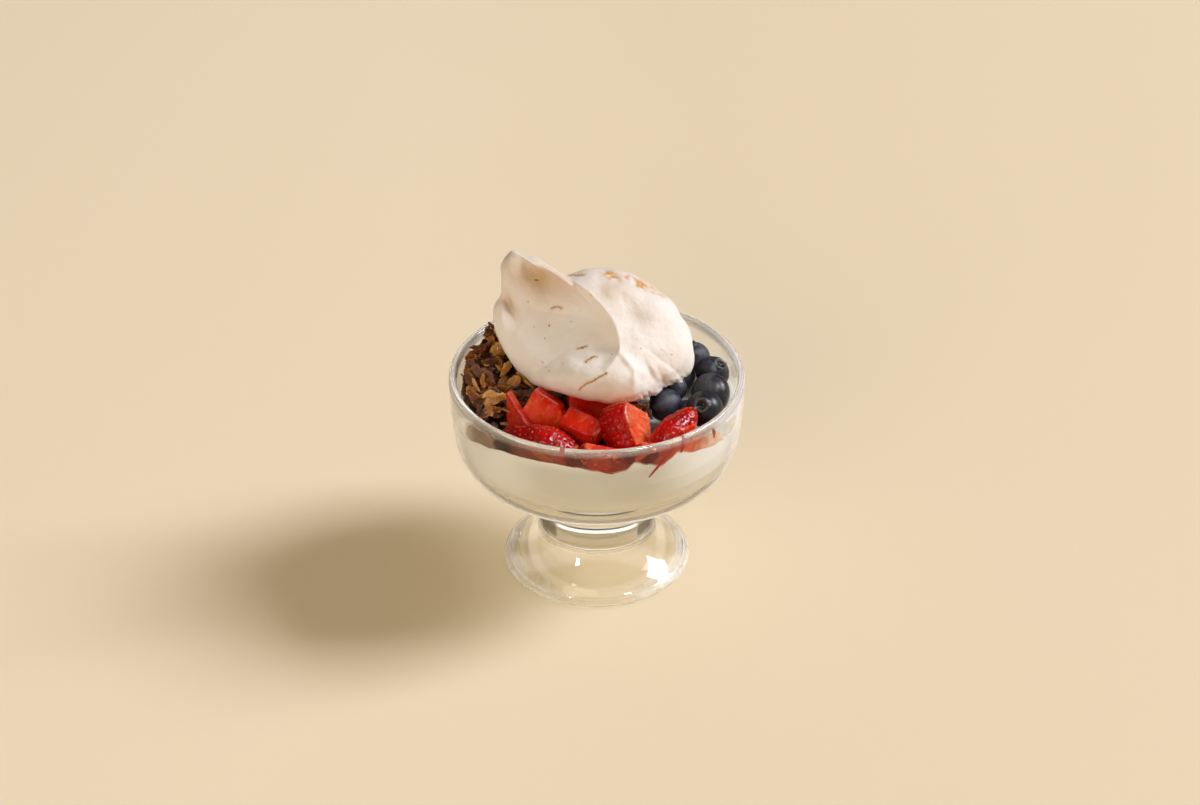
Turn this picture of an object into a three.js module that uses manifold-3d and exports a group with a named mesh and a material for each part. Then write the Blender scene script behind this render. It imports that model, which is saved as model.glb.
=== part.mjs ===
// Footed glass dish filled with cream, toasted oat clusters, strawberry pieces, blueberries and one big meringue.
// Units are millimetres, +Z is up, the dish stands on z = 0 with its stem on the Z axis, and -Y is the front.
import * as THREE from 'three';
import { mergeVertices } from 'three/addons/utils/BufferGeometryUtils.js';
import Module from 'manifold-3d';

const wasm = await Module();
wasm.setup();

const { degToRad, radToDeg, smoothstep, clamp } = THREE.MathUtils;

// Driving sizes
const GAP = 0.3;            // clear space between pieces that touch
const RIM_HEIGHT = 79.3;    // height of the glass
const RIM_RADIUS = 52.6;    // outside of the glass at its rim
const WALL = 2.9;           // thickness of the bowl's wall at the rim
const FOOT_RADIUS = 34;     // outside of the foot
const STEM_RADIUS = 18.8;   // narrowest part of the stem
const CREAM_LEVEL = 69.4;   // level of the cream at the front wall

// The dish as rows of radius and height, all turned round the Z axis
const DISH = {
  facets: 44,
  footHollow: [[0, 14.6], [12, 13.8], [21, 10.6], [28, 4.6]],
  foot: [
    [FOOT_RADIUS - 2.6, 0], [FOOT_RADIUS - 0.8, 0], [FOOT_RADIUS, 2.0], [FOOT_RADIUS - 0.5, 3.9],
    [FOOT_RADIUS - 2.4, 5.1], [28.6, 8.6], [23.8, 14.0], [STEM_RADIUS + 1.2, 17.4], [STEM_RADIUS, 19.6],
  ],
  bowl: [
    [STEM_RADIUS, 28.6], [20.2, 32.6], [24.0, 35.8], [36.0, 39.2], [42.4, 42.0], [47.0, 45.5], [50.2, 51.0],
    [51.6, 59.0], [52.2, 69.0], [RIM_RADIUS, RIM_HEIGHT - 1.9],
  ],
  lip: [
    [RIM_RADIUS - 0.5, RIM_HEIGHT - 0.4], [RIM_RADIUS - WALL / 2, RIM_HEIGHT],
    [RIM_RADIUS - WALL + 0.4, RIM_HEIGHT - 0.4], [RIM_RADIUS - WALL, RIM_HEIGHT - 1.9],
  ],
  inside: [
    [49.2, 70.0], [48.6, 62.0], [47.2, 55.0], [43.6, 48.8], [38.0, 44.8], [28.0, 42.5], [0, 41.7],
  ],
};

// The meringue is drawn as an outline, right and up from its centre, in a frame that leans back by `tilt`
const MERINGUE = {
  centre: [-2.4, 3, 92.5],
  tilt: degToRad(32.35),
  rest: 79.3,                 // height of its lowest edge
  columns: 44,
  rows: 20,
  pole: [6.0, 4.2],           // where the columns meet, on the crest
  frontBulge: 16,
  backBulge: 24,
  backLean: [0, 0.74, -0.67],
  hornForward: 9,             // how far the peak comes forward
  scoopDepth: 10,
  scoopWidth: 8,
  crest: { right: 11, low: -9, bend: 0.0337, power: 1.85 },
  outline: [
    [35.1, 0], [30.2, 9.8], [22.8, 16.5], [12.3, 22.1], [0, 23.3], [-8.8, 21.4], [-15.8, 25.3], [-22.5, 27.6],
    [-27.1, 28.9], [-30.6, 24.5], [-31.8, 13.2], [-34.1, 6.5], [-33.3, 1.0], [-28.8, -8.1], [-21.1, -16.5],
    [-12.3, -20.7], [0, -23.7], [11.2, -24.3], [19.3, -22.8], [26.4, -18.6], [33.0, -16.2], [36.6, -9.5],
  ],
};

// Blueberries: middle, radius, height as a share of the width, and the direction of the crown
const BLUEBERRIES = [
  { at: [34.9, 20.7, 72.2], radius: 5.9, flat: 0.94, crown: [-0.3, 0.2, 0.9] },
  { at: [41.4, 10.3, 72.2], radius: 6.2, flat: 0.92, crown: [0.5, -0.2, 0.8] },
  { at: [40.2, -3.8, 72.1], radius: 7.5, flat: 0.82, crown: [0.7, 0.5, -0.4] },
  { at: [37.5, -18.1, 75.0], radius: 6.5, flat: 0.93, crown: [-0.22, -0.68, 0.7] },
  { at: [24.0, -13.4, 73.6], radius: 6.0, flat: 0.94, crown: [-0.6, 0.5, 0.5] },
  { at: [27.0, -0.4, 72.4], radius: 5.0, flat: 0.94, crown: [0.1, 0.3, -0.9] },
  { at: [23.9, 27.7, 72.4], radius: 6.0, flat: 0.92, crown: [0.2, 0.7, 0.6] },
  { at: [11.2, 35.0, 73.0], radius: 6.3, flat: 0.93, crown: [-0.4, 0.5, 0.8] },
  { at: [31.4, -11.4, 69.0], radius: 4.8, flat: 0.93, crown: [0.1, 0.3, -0.9] },
  { at: [30.3, 9.8, 70.4], radius: 4.8, flat: 0.93, crown: [-0.2, 0.1, 0.9] },
];
const BERRY_CROWN = { ringAngle: 0.42, ringWidth: 0.2, ringRise: 0.05, craterWidth: 0.3, craterDepth: 0.17 };

// Strawberry pieces: a whole berry with its middle at `at`, its tip turned to `tip` and its local X to `side`.
// Each cut keeps what lies within a distance of the middle along a local direction.
const STRAWBERRIES = [
  { at: [-28.3, -21.8, 75.0], length: 17, radius: 7.5, tip: [-0.2, 0.52, 0.72], side: [-0.55, -0.75, 0.2],
    cuts: [[[1, 0, 0], 1.7], [[-1, 0, 0], 1.7], [[0, 1, 0.45], 3.2], [[0, -1, 0.25], 2.8]] },
  { at: [-19.4, -33.6, 70.4], length: 29, radius: 7.6, tip: [-0.9, 0.36, 0.14], side: [0.2, 0.5, -0.8],
    cuts: [[[1, 0, 0], 2.4], [[0, 1, 0], 6.6], [[0, 0, -1], 13.0]] },
  { at: [-18.6, -20.6, 74.3], length: 22, radius: 9.6, tip: [0.8, -0.3, -0.4], side: [-0.5, -0.62, 0.5],
    cuts: [[[1, 0, 0], 3.6], [[0, 0, -1], 7.0], [[0, 0, 1], 8.0], [[0, 1, 0.2], 5.6], [[0, -1, 0], 6.8]] },
  { at: [-5.4, -29.4, 74.8], length: 22, radius: 7.4, tip: [0.82, -0.46, -0.2], side: [0.0, -0.34, 0.94],
    cuts: [[[1, 0, 0], 3.4], [[0, 0, -1], 6.6], [[0, 0, 1], 7.8], [[0, -1, 0], 4.0], [[0, 1, 0], 4.4]] },
  { at: [10.6, -31.0, 74.0], length: 25, radius: 10.4, tip: [0.1, -0.72, -0.5], side: [0.86, -0.3, 0.42],
    cuts: [[[1, 0, 0], 5.0], [[0, 0, -1], 7.6], [[0, 0, 1], 9.6], [[0, -1, 0], 8.2]] },
  { at: [27.0, -31.0, 73.6], length: 22, radius: 7.6, tip: [0.58, 0.5, 0.5], side: [0.3, 0.5, -0.8],
    cuts: [[[1, 0, 0], 1.4], [[0, 1, 0], 3.8], [[0, -1, 0], 4.6]] },
  { at: [33.4, -31.4, 70.4], length: 12, radius: 5.4, tip: [0.7, -0.2, -0.6], side: [-0.2, 0.9, 0.2],
    cuts: [[[1, 0, 0], 1.8], [[0, 1, 0], 3.2]] },
  { at: [-2.6, -17.2, 73.8], length: 19, radius: 8.4, tip: [0.95, 0.1, -0.1], side: [0, -0.6, 0.7],
    cuts: [[[1, 0, 0], 3.2], [[0, 0, -1], 7.5]] },
  { at: [3.0, -42.4, 71.2], length: 20, radius: 6.6, tip: [0.96, 0.06, -0.22], side: [0.1, 0.9, 0.3],
    cuts: [[[1, 0, 0], 1.2], [[0, 1, 0], 4.4]] },
  { at: [19.0, -40.4, 70.4], length: 17, radius: 6.4, tip: [0.8, 0.4, -0.35], side: [-0.4, 0.8, 0.3],
    cuts: [[[1, 0, 0], 1.6], [[0, 1, 0], 4.6]] },
];
const BERRY_TAPER = 0.42;   // how much narrower a strawberry is at its tip

// The heap of toasted oats: from and to are angles round the bowl in degrees
const HEAP = {
  from: 96, to: 219, inner: 22, outer: 48.4, foot: 66.2, top: 74.2, endRounding: 0.35,
  highest: 152, spread: 26, rise: 3.2,   // the heap is piled up against the wall round this angle
  clusters: 14, clusterRadius: [2.8, 5.0], flakes: 20, flakeLength: [3.2, 4.6], flakeWidth: [2.4, 3.3],
  flakeThickness: 0.7, seed: 29,
};

// The top of the cream: waves at the wall, a lower right side, a hollow under the fruit and a rise under the meringue
const CREAM = {
  columns: 36, rings: [5, 11, 17, 22, 27, 32, 37, 42, 46, 48.5], wave: 0.7, ripple: 0.4, rightDrop: 2.4,
  hollow: 2.6, hollowFrom: 44, hollowTo: 36, riseFrom: 20, riseTo: 8,
};

// Repeatable random numbers between 0 and 1
function randomFrom(seed) {
  let state = seed >>> 0;
  return () => {
    state = (Math.imul(state, 1664525) + 1013904223) >>> 0;
    return state / 4294967296;
  };
}

// Closed solid from a geometry, with repeated points joined and empty faces dropped
function solidOf(geometry) {
  const bare = geometry.clone();
  bare.deleteAttribute('normal');
  bare.deleteAttribute('uv');
  const merged = mergeVertices(bare, 1e-4);
  const index = merged.index.array;
  const faces = [];
  for (let i = 0; i < index.length; i += 3) {
    const [a, b, c] = [index[i], index[i + 1], index[i + 2]];
    if (a !== b && b !== c && c !== a) faces.push(a, b, c);
  }
  return new wasm.Manifold(new wasm.Mesh({
    numProp: 3,
    vertProperties: Float32Array.from(merged.attributes.position.array),
    triVerts: Uint32Array.from(faces),
  }));
}

function geometryOf(solid) {
  const mesh = solid.getMesh();
  const geometry = new THREE.BufferGeometry();
  geometry.setAttribute('position', new THREE.BufferAttribute(Float32Array.from(mesh.vertProperties), 3));
  geometry.setIndex(new THREE.BufferAttribute(Uint32Array.from(mesh.triVerts), 1));
  geometry.computeVertexNormals();
  return geometry;
}

// Biggest body of a solid that a cut may have parted
function largest(solid) {
  return solid.decompose().sort((a, b) => b.volume() - a.volume())[0];
}

// Height that never falls under the floor and meets it smoothly
function softFloor(height, floor, blend) {
  if (height >= floor + blend) return height;
  if (height <= floor - blend) return floor;
  return floor + (height - floor + blend) ** 2 / (4 * blend);
}

// Body of revolution about Z from rows of radius and height
function revolve(rows) {
  const geometry = new THREE.LatheGeometry(rows.map(([r, z]) => new THREE.Vector2(r, z)), DISH.facets);
  geometry.rotateX(Math.PI / 2);
  return solidOf(geometry);
}

// Closed skin from one pole to the other: pointAt takes the turn and the way down, both from 0 to 1
function skin(columns, rows, pointAt) {
  const positions = [...pointAt(0, 0).toArray()];
  const faces = [];
  for (let j = 1; j < rows; j++) {
    for (let i = 0; i < columns; i++) positions.push(...pointAt(i / columns, j / rows).toArray());
  }
  positions.push(...pointAt(0, 1).toArray());
  const last = positions.length / 3 - 1;
  const at = (i, j) => 1 + (j - 1) * columns + (i % columns);
  for (let i = 0; i < columns; i++) {
    faces.push(0, at(i, 1), at(i + 1, 1));
    for (let j = 1; j < rows - 1; j++) {
      faces.push(at(i, j), at(i, j + 1), at(i + 1, j + 1), at(i, j), at(i + 1, j + 1), at(i + 1, j));
    }
    faces.push(at(i, rows - 1), last, at(i + 1, rows - 1));
  }
  const geometry = new THREE.BufferGeometry();
  geometry.setAttribute('position', new THREE.Float32BufferAttribute(positions, 3));
  geometry.setIndex(faces);
  return solidOf(geometry);
}

// Moves a solid so that its local Z lies along `main`, its local X near `first` and its middle at `at`
function placed(solid, main, first, at) {
  const z = new THREE.Vector3(...main).normalize();
  const x = new THREE.Vector3(...first);
  x.addScaledVector(z, -x.dot(z)).normalize();
  const y = new THREE.Vector3().crossVectors(z, x);
  return solid.transform(new THREE.Matrix4().makeBasis(x, y, z).setPosition(...at).toArray());
}

// The footed glass dish, hollow under its foot
function makeDish() {
  return revolve([...DISH.footHollow, ...DISH.foot, ...DISH.bowl, ...DISH.lip, ...DISH.inside]);
}

// Room inside the bowl, kept clear of the wall
function bowlRoom() {
  const wall = [DISH.lip[3], ...DISH.inside].map(([r, z]) => [Math.max(0, r - GAP), z + GAP]);
  const above = RIM_HEIGHT + 10;
  return revolve([...wall.reverse(), [wall[wall.length - 1][0], above], [0, above]]);
}

// Right position of the meringue's crest at a height in its frame
function crestAt(v) {
  const { right, low, bend, power } = MERINGUE.crest;
  return right - bend * Math.max(0, v - low) ** power;
}

// The meringue: domed to the front and the back of its outline, scooped to the left of its crest
function makeMeringue(grow) {
  const { tilt, pole, columns, rows, outline, rest } = MERINGUE;
  const centre = new THREE.Vector3(...MERINGUE.centre);
  const up = new THREE.Vector3(0, Math.sin(tilt), Math.cos(tilt));
  const front = new THREE.Vector3(0, -Math.cos(tilt), Math.sin(tilt));
  const back = new THREE.Vector3(...MERINGUE.backLean);
  const loop = new THREE.CatmullRomCurve3(outline.map(([u, v]) => new THREE.Vector3(u, v, 0)), true, 'centripetal');
  const edge = loop.getSpacedPoints(columns);
  const pointAt = (turn, way) => {
    const { x: edgeU, y: edgeV } = edge[Math.round(turn * columns) % columns];
    const angle = way * Math.PI;
    const share = Math.sin(angle) ** 0.9;
    const u = pole[0] + (edgeU - pole[0]) * share;
    const v = pole[1] + (edgeV - pole[1]) * share;
    const lift = Math.max(0, (rest - centre.z - edgeV * up.z) / front.z);
    const horn = MERINGUE.hornForward * (1 - smoothstep(edgeU, -26, -8)) * smoothstep(edgeV, 10, 24);
    const point = centre.clone().addScaledVector(up, v).addScaledVector(front, (lift + horn) * share);
    point.x += u;
    if (way <= 0.5) {
      const leftOfCrest = Math.max(0, crestAt(v) - u);
      const scoop = (1 - Math.exp(-leftOfCrest / MERINGUE.scoopWidth)) * (1 - smoothstep(share, 0.5, 1));
      const depth = MERINGUE.scoopDepth * scoop * smoothstep(v, -19, -4);
      point.addScaledVector(front, MERINGUE.frontBulge * Math.cos(angle) - depth);
    } else {
      point.addScaledVector(back, -MERINGUE.backBulge * Math.cos(angle));
    }
    point.z = softFloor(point.z, rest, 3);
    return point.addScaledVector(point.clone().sub(centre).normalize(), grow);
  };
  return skin(columns, rows, pointAt);
}

// A blueberry with the small crown crater at one end
function makeBlueberry({ at, radius, flat, crown }, grow) {
  const { ringAngle, ringWidth, ringRise, craterWidth, craterDepth } = BERRY_CROWN;
  const pointAt = (turn, way) => {
    const angle = way * Math.PI;
    const around = turn * 2 * Math.PI;
    const ring = ringRise * Math.exp(-(((angle - ringAngle) / ringWidth) ** 2));
    const crater = craterDepth * Math.exp(-((angle / craterWidth) ** 2));
    const r = radius * (1 + ring - (grow ? 0 : crater)) + grow;
    const across = r * Math.sin(angle);
    return new THREE.Vector3(across * Math.cos(around), across * Math.sin(around), r * Math.cos(angle) * flat);
  };
  return placed(skin(12, 9, pointAt), crown, [0.31, 0.9, 0.27], at);
}

// A strawberry piece: the whole berry, trimmed by each of its cuts
function makeStrawberry({ at, length, radius, tip, side, cuts }, grow) {
  const pointAt = (turn, way) => {
    const angle = way * Math.PI;
    const around = turn * 2 * Math.PI;
    const taper = 1 - BERRY_TAPER * smoothstep(Math.cos(angle), -0.4, 1);
    const r = radius * taper * Math.sin(angle) ** 0.85 + grow * Math.sin(angle);
    return new THREE.Vector3(r * Math.cos(around), r * Math.sin(around), (length / 2 + grow) * Math.cos(angle));
  };
  const whole = skin(13, 9, pointAt);
  const piece = cuts.reduce((left, [direction, keep]) => {
    const normal = new THREE.Vector3(...direction).normalize().negate();
    return left.trimByPlane(normal.toArray(), -(keep + grow));
  }, whole);
  return placed(piece, tip, side, at);
}

// The heap of oats: a low curved core with round clusters and flat flakes fused on
function makeGranola(grow) {
  const random = randomFrom(HEAP.seed);
  const between = ([low, high]) => low + (high - low) * random();
  const spot = (angle, r, z) => [r * Math.cos(degToRad(angle)), r * Math.sin(degToRad(angle)), z];
  const pile = (angle, r) => {
    const near = Math.exp(-(((angle - HEAP.highest) / HEAP.spread) ** 2));
    return HEAP.rise * near * smoothstep(r, HEAP.inner + 6, HEAP.outer - 4);
  };
  const span = HEAP.to - HEAP.from;
  const piece = (geometry, at, size, turn) => {
    geometry.scale(...size.map((s) => s + grow));
    geometry.applyMatrix4(new THREE.Matrix4().makeRotationFromEuler(new THREE.Euler(...turn)));
    geometry.translate(...at);
    return solidOf(geometry);
  };
  const core = skin(10, 13, (turn, way) => {
    const full = Math.sin(way * Math.PI) ** HEAP.endRounding;
    const [c, s] = [Math.cos(turn * 2 * Math.PI), Math.sin(turn * 2 * Math.PI)];
    const square = Math.max(Math.abs(c), Math.abs(s)) ** -0.7;
    const angle = HEAP.from + span * way;
    const across = ((HEAP.outer - HEAP.inner) / 2) * full + grow;
    const high = ((HEAP.top - HEAP.foot) / 2) * full + grow;
    const r = (HEAP.outer + HEAP.inner) / 2 + across * clamp(c * square, -1, 1);
    const z = (HEAP.top + HEAP.foot) / 2 + high * clamp(s * square, -1, 1);
    return new THREE.Vector3(...spot(angle, r, z + (s > 0 ? pile(angle, r) : 0)));
  });
  const pieces = [core];
  for (let i = 0; i < HEAP.clusters; i++) {
    const size = between(HEAP.clusterRadius);
    const angle = HEAP.from + 4 + ((span - 8) * (i + between([0.2, 0.8]))) / HEAP.clusters;
    const r = HEAP.inner + 3 + (HEAP.outer - HEAP.inner - 4 - size) * ((i * 0.618) % 1);
    const at = spot(angle, r, HEAP.top + pile(angle, r) + between([-0.4, 1.6]));
    pieces.push(piece(new THREE.IcosahedronGeometry(1, 1), at, [size * 1.1, size, size * 0.85],
      [between([0, 3]), between([0, 3]), between([0, 3])]));
  }
  for (let i = 0; i < HEAP.flakes; i++) {
    const angle = HEAP.from + 4 + ((span - 8) * (i + random())) / HEAP.flakes;
    const r = HEAP.inner + 2 + (HEAP.outer - HEAP.inner - 6.5) * ((i * 0.382 + 0.15) % 1);
    const at = spot(angle, r, HEAP.top + pile(angle, r) + between([0.6, 3.2]));
    pieces.push(piece(new THREE.CylinderGeometry(0.8, 1, 2, 7), at,
      [between(HEAP.flakeLength), HEAP.flakeThickness, between(HEAP.flakeWidth)],
      [between([0.77, 2.37]), between([0, 6.28]), between([-0.8, 0.8])]));
  }
  return wasm.Manifold.union(pieces);
}

// Level of the cream at a place in the bowl
function creamLevel(x, y) {
  const r = Math.hypot(x, y);
  const around = Math.atan2(y, x);
  const degrees = (radToDeg(around) + 360) % 360;
  const waves = CREAM.wave * Math.sin(around * 3 + 0.6) + CREAM.ripple * Math.sin(around * 7);
  const wall = CREAM_LEVEL + waves - CREAM.rightDrop * Math.max(0, Math.cos(around)) ** 2;
  const heap = smoothstep(degrees, HEAP.from - 8, HEAP.from + 4) * (1 - smoothstep(degrees, HEAP.to - 4, HEAP.to + 8));
  const hollow = CREAM.hollow * (1 - heap) * (1 - smoothstep(r, CREAM.hollowTo, CREAM.hollowFrom));
  const level = wall - hollow + (HEAP.foot - 0.4 - wall) * heap * smoothstep(r, 14, 20);
  const rise = 1 - smoothstep(r, CREAM.riseTo, CREAM.riseFrom);
  return level + (MERINGUE.rest - GAP - level) * rise;
}

// The cream: everything inside the bowl up to its level
function makeCream() {
  const top = CREAM.rings.map((r) => (c, s) => [r, creamLevel(c * r, s * r)]);
  const wall = DISH.inside.slice(1, -1).map(([r, z]) => () => [r - GAP, z + GAP]);
  const rows = [...top, ...wall];
  const steps = rows.length + 1;
  const pointAt = (turn, way) => {
    const j = Math.round(way * steps);
    if (j === 0) return new THREE.Vector3(0, 0, creamLevel(0, 0));
    if (j === steps) return new THREE.Vector3(0, 0, DISH.inside[DISH.inside.length - 1][1] + GAP);
    const [c, s] = [Math.cos(turn * 2 * Math.PI), Math.sin(turn * 2 * Math.PI)];
    const [r, z] = rows[j - 1](c, s);
    return new THREE.Vector3(r * c, r * s, z);
  };
  return skin(CREAM.columns, steps, pointAt);
}

// A mesh of the scene, with its own origin at `at`
function add(name, solid, finish, at = [0, 0, 0]) {
  const geometry = geometryOf(solid);
  geometry.translate(-at[0], -at[1], -at[2]);
  const mesh = new THREE.Mesh(geometry, new THREE.MeshStandardMaterial({ metalness: 0, ...finish }));
  mesh.name = name;
  mesh.position.set(...at);
  root.add(mesh);
}

const root = new THREE.Group();

// Pieces are cut clear of those made before them: meringue, blueberries, strawberries, oats and last the cream
const room = bowlRoom();
const earlier = [makeMeringue(GAP)];
const cutClear = (solid) => largest(earlier.reduce((left, other) => left.subtract(other), solid));

add('glass_dish', makeDish(), { color: 0xe9efec, roughness: 0.05, transparent: true, opacity: 0.35 });
add('meringue', makeMeringue(0), { color: 0xefe4d6, roughness: 0.75 });
BLUEBERRIES.forEach((berry, i) => {
  add(`blueberry_${i + 1}`, cutClear(makeBlueberry(berry, 0)), { color: 0x2b3350, roughness: 0.6 }, berry.at);
  earlier.push(makeBlueberry(berry, GAP));
});
STRAWBERRIES.forEach((berry, i) => {
  const piece = cutClear(makeStrawberry(berry, 0).intersect(room));
  add(`strawberry_${i + 1}`, piece, { color: 0xc9201a, roughness: 0.3 }, berry.at);
  earlier.push(makeStrawberry(berry, GAP));
});
add('granola', cutClear(makeGranola(0).intersect(room)), { color: 0x6b3f1c, roughness: 0.7 });
earlier.push(makeGranola(GAP));
add('cream', cutClear(makeCream()), { color: 0xf1e9dc, roughness: 0.5 });

export default root;
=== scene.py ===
from math import acos, atan2, cos, degrees, exp, hypot, pi, radians, sin

import bpy
from mathutils import Matrix, Vector, noise
from mathutils.kdtree import KDTree


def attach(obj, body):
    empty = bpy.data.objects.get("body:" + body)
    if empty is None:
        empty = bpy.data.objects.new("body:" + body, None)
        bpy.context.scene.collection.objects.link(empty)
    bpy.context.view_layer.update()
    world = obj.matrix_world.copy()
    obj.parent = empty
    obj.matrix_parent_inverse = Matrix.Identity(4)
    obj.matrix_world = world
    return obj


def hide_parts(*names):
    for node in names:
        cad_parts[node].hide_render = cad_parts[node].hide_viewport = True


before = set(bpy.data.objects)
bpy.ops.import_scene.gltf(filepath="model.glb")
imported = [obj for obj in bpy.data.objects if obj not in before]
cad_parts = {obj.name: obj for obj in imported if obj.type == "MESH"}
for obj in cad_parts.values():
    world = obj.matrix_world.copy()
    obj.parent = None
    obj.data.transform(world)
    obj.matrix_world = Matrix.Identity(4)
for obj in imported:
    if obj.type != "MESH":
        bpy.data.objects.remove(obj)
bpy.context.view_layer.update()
mm = 0.001
gap = 0.3            # clear space that the CAD keeps between pieces, mm
toRamp = 12.5        # 80 mm of a piece fill a colour ramp

print("stage: helpers")


def clearSelection():
    if bpy.context.object and bpy.context.object.mode != 'OBJECT':
        bpy.ops.object.mode_set(mode='OBJECT')
    bpy.ops.object.select_all(action='DESELECT')


def pick(piece):
    clearSelection()
    piece.select_set(True)
    bpy.context.view_layer.objects.active = piece


def mix(a, b, share):
    return a + (b - a) * share


def clamp(x, low=0.0, high=1.0):
    return max(low, min(high, x))


def smoothstep(x, low, high):
    t = clamp((x - low) / (high - low))
    return t * t * (3 - 2 * t)


def alongTable(x, table):
    # eases from one row of place and value to the next
    for (x0, y0), (x1, y1) in zip(table, table[1:]):
        if x <= x1:
            return mix(y0, y1, smoothstep(x, x0, x1))
    return table[-1][1]


def randomFrom(seed):
    state = [seed]

    def draw(low=0.0, high=1.0):
        state[0] = (state[0] * 1664525 + 1013904223) % 4294967296
        return low + (high - low) * state[0] / 4294967296
    return draw


def linear(red, green, blue):
    # a colour seen on screen, 0 to 255, as the light that Blender works with
    def one(c):
        c = c / 255
        return c / 12.92 if c <= 0.04045 else ((c + 0.055) / 1.055) ** 2.4
    return (one(red), one(green), one(blue), 1)


def shapedSphere(name, segments, rings, pointAt):
    # pointAt gets the turn round Z and the way down from the top, 0 to 1, and gives millimetres
    clearSelection()
    bpy.ops.mesh.primitive_uv_sphere_add(segments=segments, ring_count=rings, radius=1)
    piece = bpy.context.object
    piece.name = piece.data.name = name
    for vertex in piece.data.vertices:
        x, y, z = vertex.co
        turn = (atan2(y, x) / (2 * pi)) % 1 if hypot(x, y) > 1e-5 else 0
        vertex.co = Vector(pointAt(turn, acos(clamp(z, -1, 1)) / pi)) * mm
    bpy.ops.object.shade_smooth()
    return piece


def axesFrom(main, first):
    z = Vector(main).normalized()
    x = Vector(first)
    x = (x - z * x.dot(z)).normalized()
    y = z.cross(x)
    return Matrix((x, y, z)).transposed()


def facing(direction):
    return direction.to_track_quat('Z', 'Y').to_matrix().to_4x4()


def move(piece, matrix):
    # the place goes into the mesh, so the object stays at the origin
    piece.data.transform(matrix)
    piece.data.update()


def placedCopy(model, matrix):
    piece = bpy.data.objects.new(model.name, model.data.copy())
    bpy.context.collection.objects.link(piece)
    move(piece, matrix)
    return piece


def useModifier(piece, kind, **settings):
    pick(piece)
    modifier = piece.modifiers.new(kind.title(), kind)
    for key, value in settings.items():
        setattr(modifier, key, value)
    bpy.ops.object.modifier_apply(modifier=modifier.name)


def joined(name, pieces):
    clearSelection()
    for piece in pieces:
        piece.select_set(True)
    bpy.context.view_layer.objects.active = pieces[0]
    bpy.ops.object.join()
    whole = bpy.context.object
    whole.name = whole.data.name = name
    bpy.ops.object.shade_smooth()
    return whole


def handIn(piece, material, slot, *nodes):
    piece.data.materials.clear()
    piece.data.materials.append(material)
    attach(piece, "root")
    if nodes:
        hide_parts(*nodes)


def setValues(piece, name, values, kind='FLOAT'):
    attribute = piece.data.attributes.new(name, kind, 'POINT')
    attribute.data.foreach_set('value' if kind == 'FLOAT' else 'vector', values)


class Finish:       # a node material with short calls for its nodes
    def __init__(self, name):
        self.material = bpy.data.materials.new(name)
        self.material.use_nodes = True
        self.tree = self.material.node_tree
        self.surface = self.tree.nodes["Principled BSDF"]
        self.output = self.tree.nodes["Material Output"]

    def node(self, kind, settings=None, **inputs):
        node = self.tree.nodes.new("ShaderNode" + kind)
        for key, value in (settings or {}).items():
            setattr(node, key, value)
        self.feed(node, **inputs)
        return node

    def feed(self, node, **inputs):
        for key, value in inputs.items():
            key = key.replace("_", " ")
            socket = node.inputs[int(key[1:])] if key[0] == "i" and key[1:].isdigit() else node.inputs[key]
            if isinstance(value, bpy.types.NodeSocket):
                self.tree.links.new(value, socket)
            else:
                socket.default_value = value

    def place(self):
        return self.node("TexCoord").outputs["Object"]

    def noise(self, scale, detail=4.0, rough=0.5, place=None, warp=0.0):
        return self.node("TexNoise", Scale=scale, Detail=detail, Roughness=rough, Distortion=warp,
                         Vector=place or self.place()).outputs["Fac"]

    def ramp(self, fac, *stops, smooth=False):
        ramp = self.node("ValToRGB", Fac=fac)
        ramp.color_ramp.interpolation = 'EASE' if smooth else 'LINEAR'
        while len(ramp.color_ramp.elements) < len(stops):
            ramp.color_ramp.elements.new(0.5)
        for element, (position, value) in zip(ramp.color_ramp.elements, stops):
            element.position = position
            element.color = value if isinstance(value, tuple) else (value, value, value, 1)
        return ramp.outputs["Color"]

    def blend(self, fac, a, b, how='MIX'):
        return self.node("MixRGB", {"blend_type": how}, Fac=fac, Color1=a, Color2=b).outputs["Color"]

    def math(self, operation, *values):
        node = self.node("Math", {"operation": operation})
        for i, value in enumerate(values):
            self.feed(node, **{f"i{i}": value})
        return node.outputs[0]

    def vector(self, operation, a, b, output="Vector"):
        return self.node("VectorMath", {"operation": operation}, i0=a, i1=b).outputs[output]

    def attribute(self, name, output="Fac"):
        return self.node("Attribute", {"attribute_name": name}).outputs[output]

    def bump(self, height, strength, distance, before=None):
        node = self.node("Bump", Strength=strength, Distance=distance, Height=height)
        if before:
            self.feed(node, Normal=before)
        return node.outputs["Normal"]


print("stage: camera, floor and light")
# the photograph's view: from the front, 32 degrees above the floor
cameraSet = {"lens": 85, "elevation": radians(32.35), "distance": 1.008, "target": Vector((0.0011, 0, 0.0661))}
towardsCamera = Vector((0, -cos(cameraSet["elevation"]), sin(cameraSet["elevation"])))
bpy.ops.object.camera_add(location=cameraSet["target"] + towardsCamera * cameraSet["distance"])
camera = bpy.context.object
camera.data.lens = cameraSet["lens"]
camera.data.sensor_width = 36
camera.rotation_euler = (pi / 2 - cameraSet["elevation"], 0, 0)
bpy.context.scene.camera = camera

lightSet = {
    "key": {"from": (0.80, 0.17, 0.64), "distance": 6.0, "size": 2.2, "power": 335,
            "color": (0.90, 0.94, 1.0), "hideInGlass": 0.6},
    "fill": {"from": (-0.38, -0.90, 0.26), "distance": 2.6, "size": 2.0, "power": 30,
             "color": (1.0, 0.90, 0.72), "hideInGlass": 0},
    "glint": {"from": (0.34, -0.20, 0.92), "distance": 2.4, "size": 0.32, "power": 34,
              "color": (1.0, 1.0, 1.0), "hideInGlass": 1},
    "sparkle": {"from": (-0.45, -0.62, 0.64), "distance": 2.4, "size": 0.2, "power": 12,
                "color": (1.0, 0.97, 0.92), "hideInGlass": 1},
}
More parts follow.
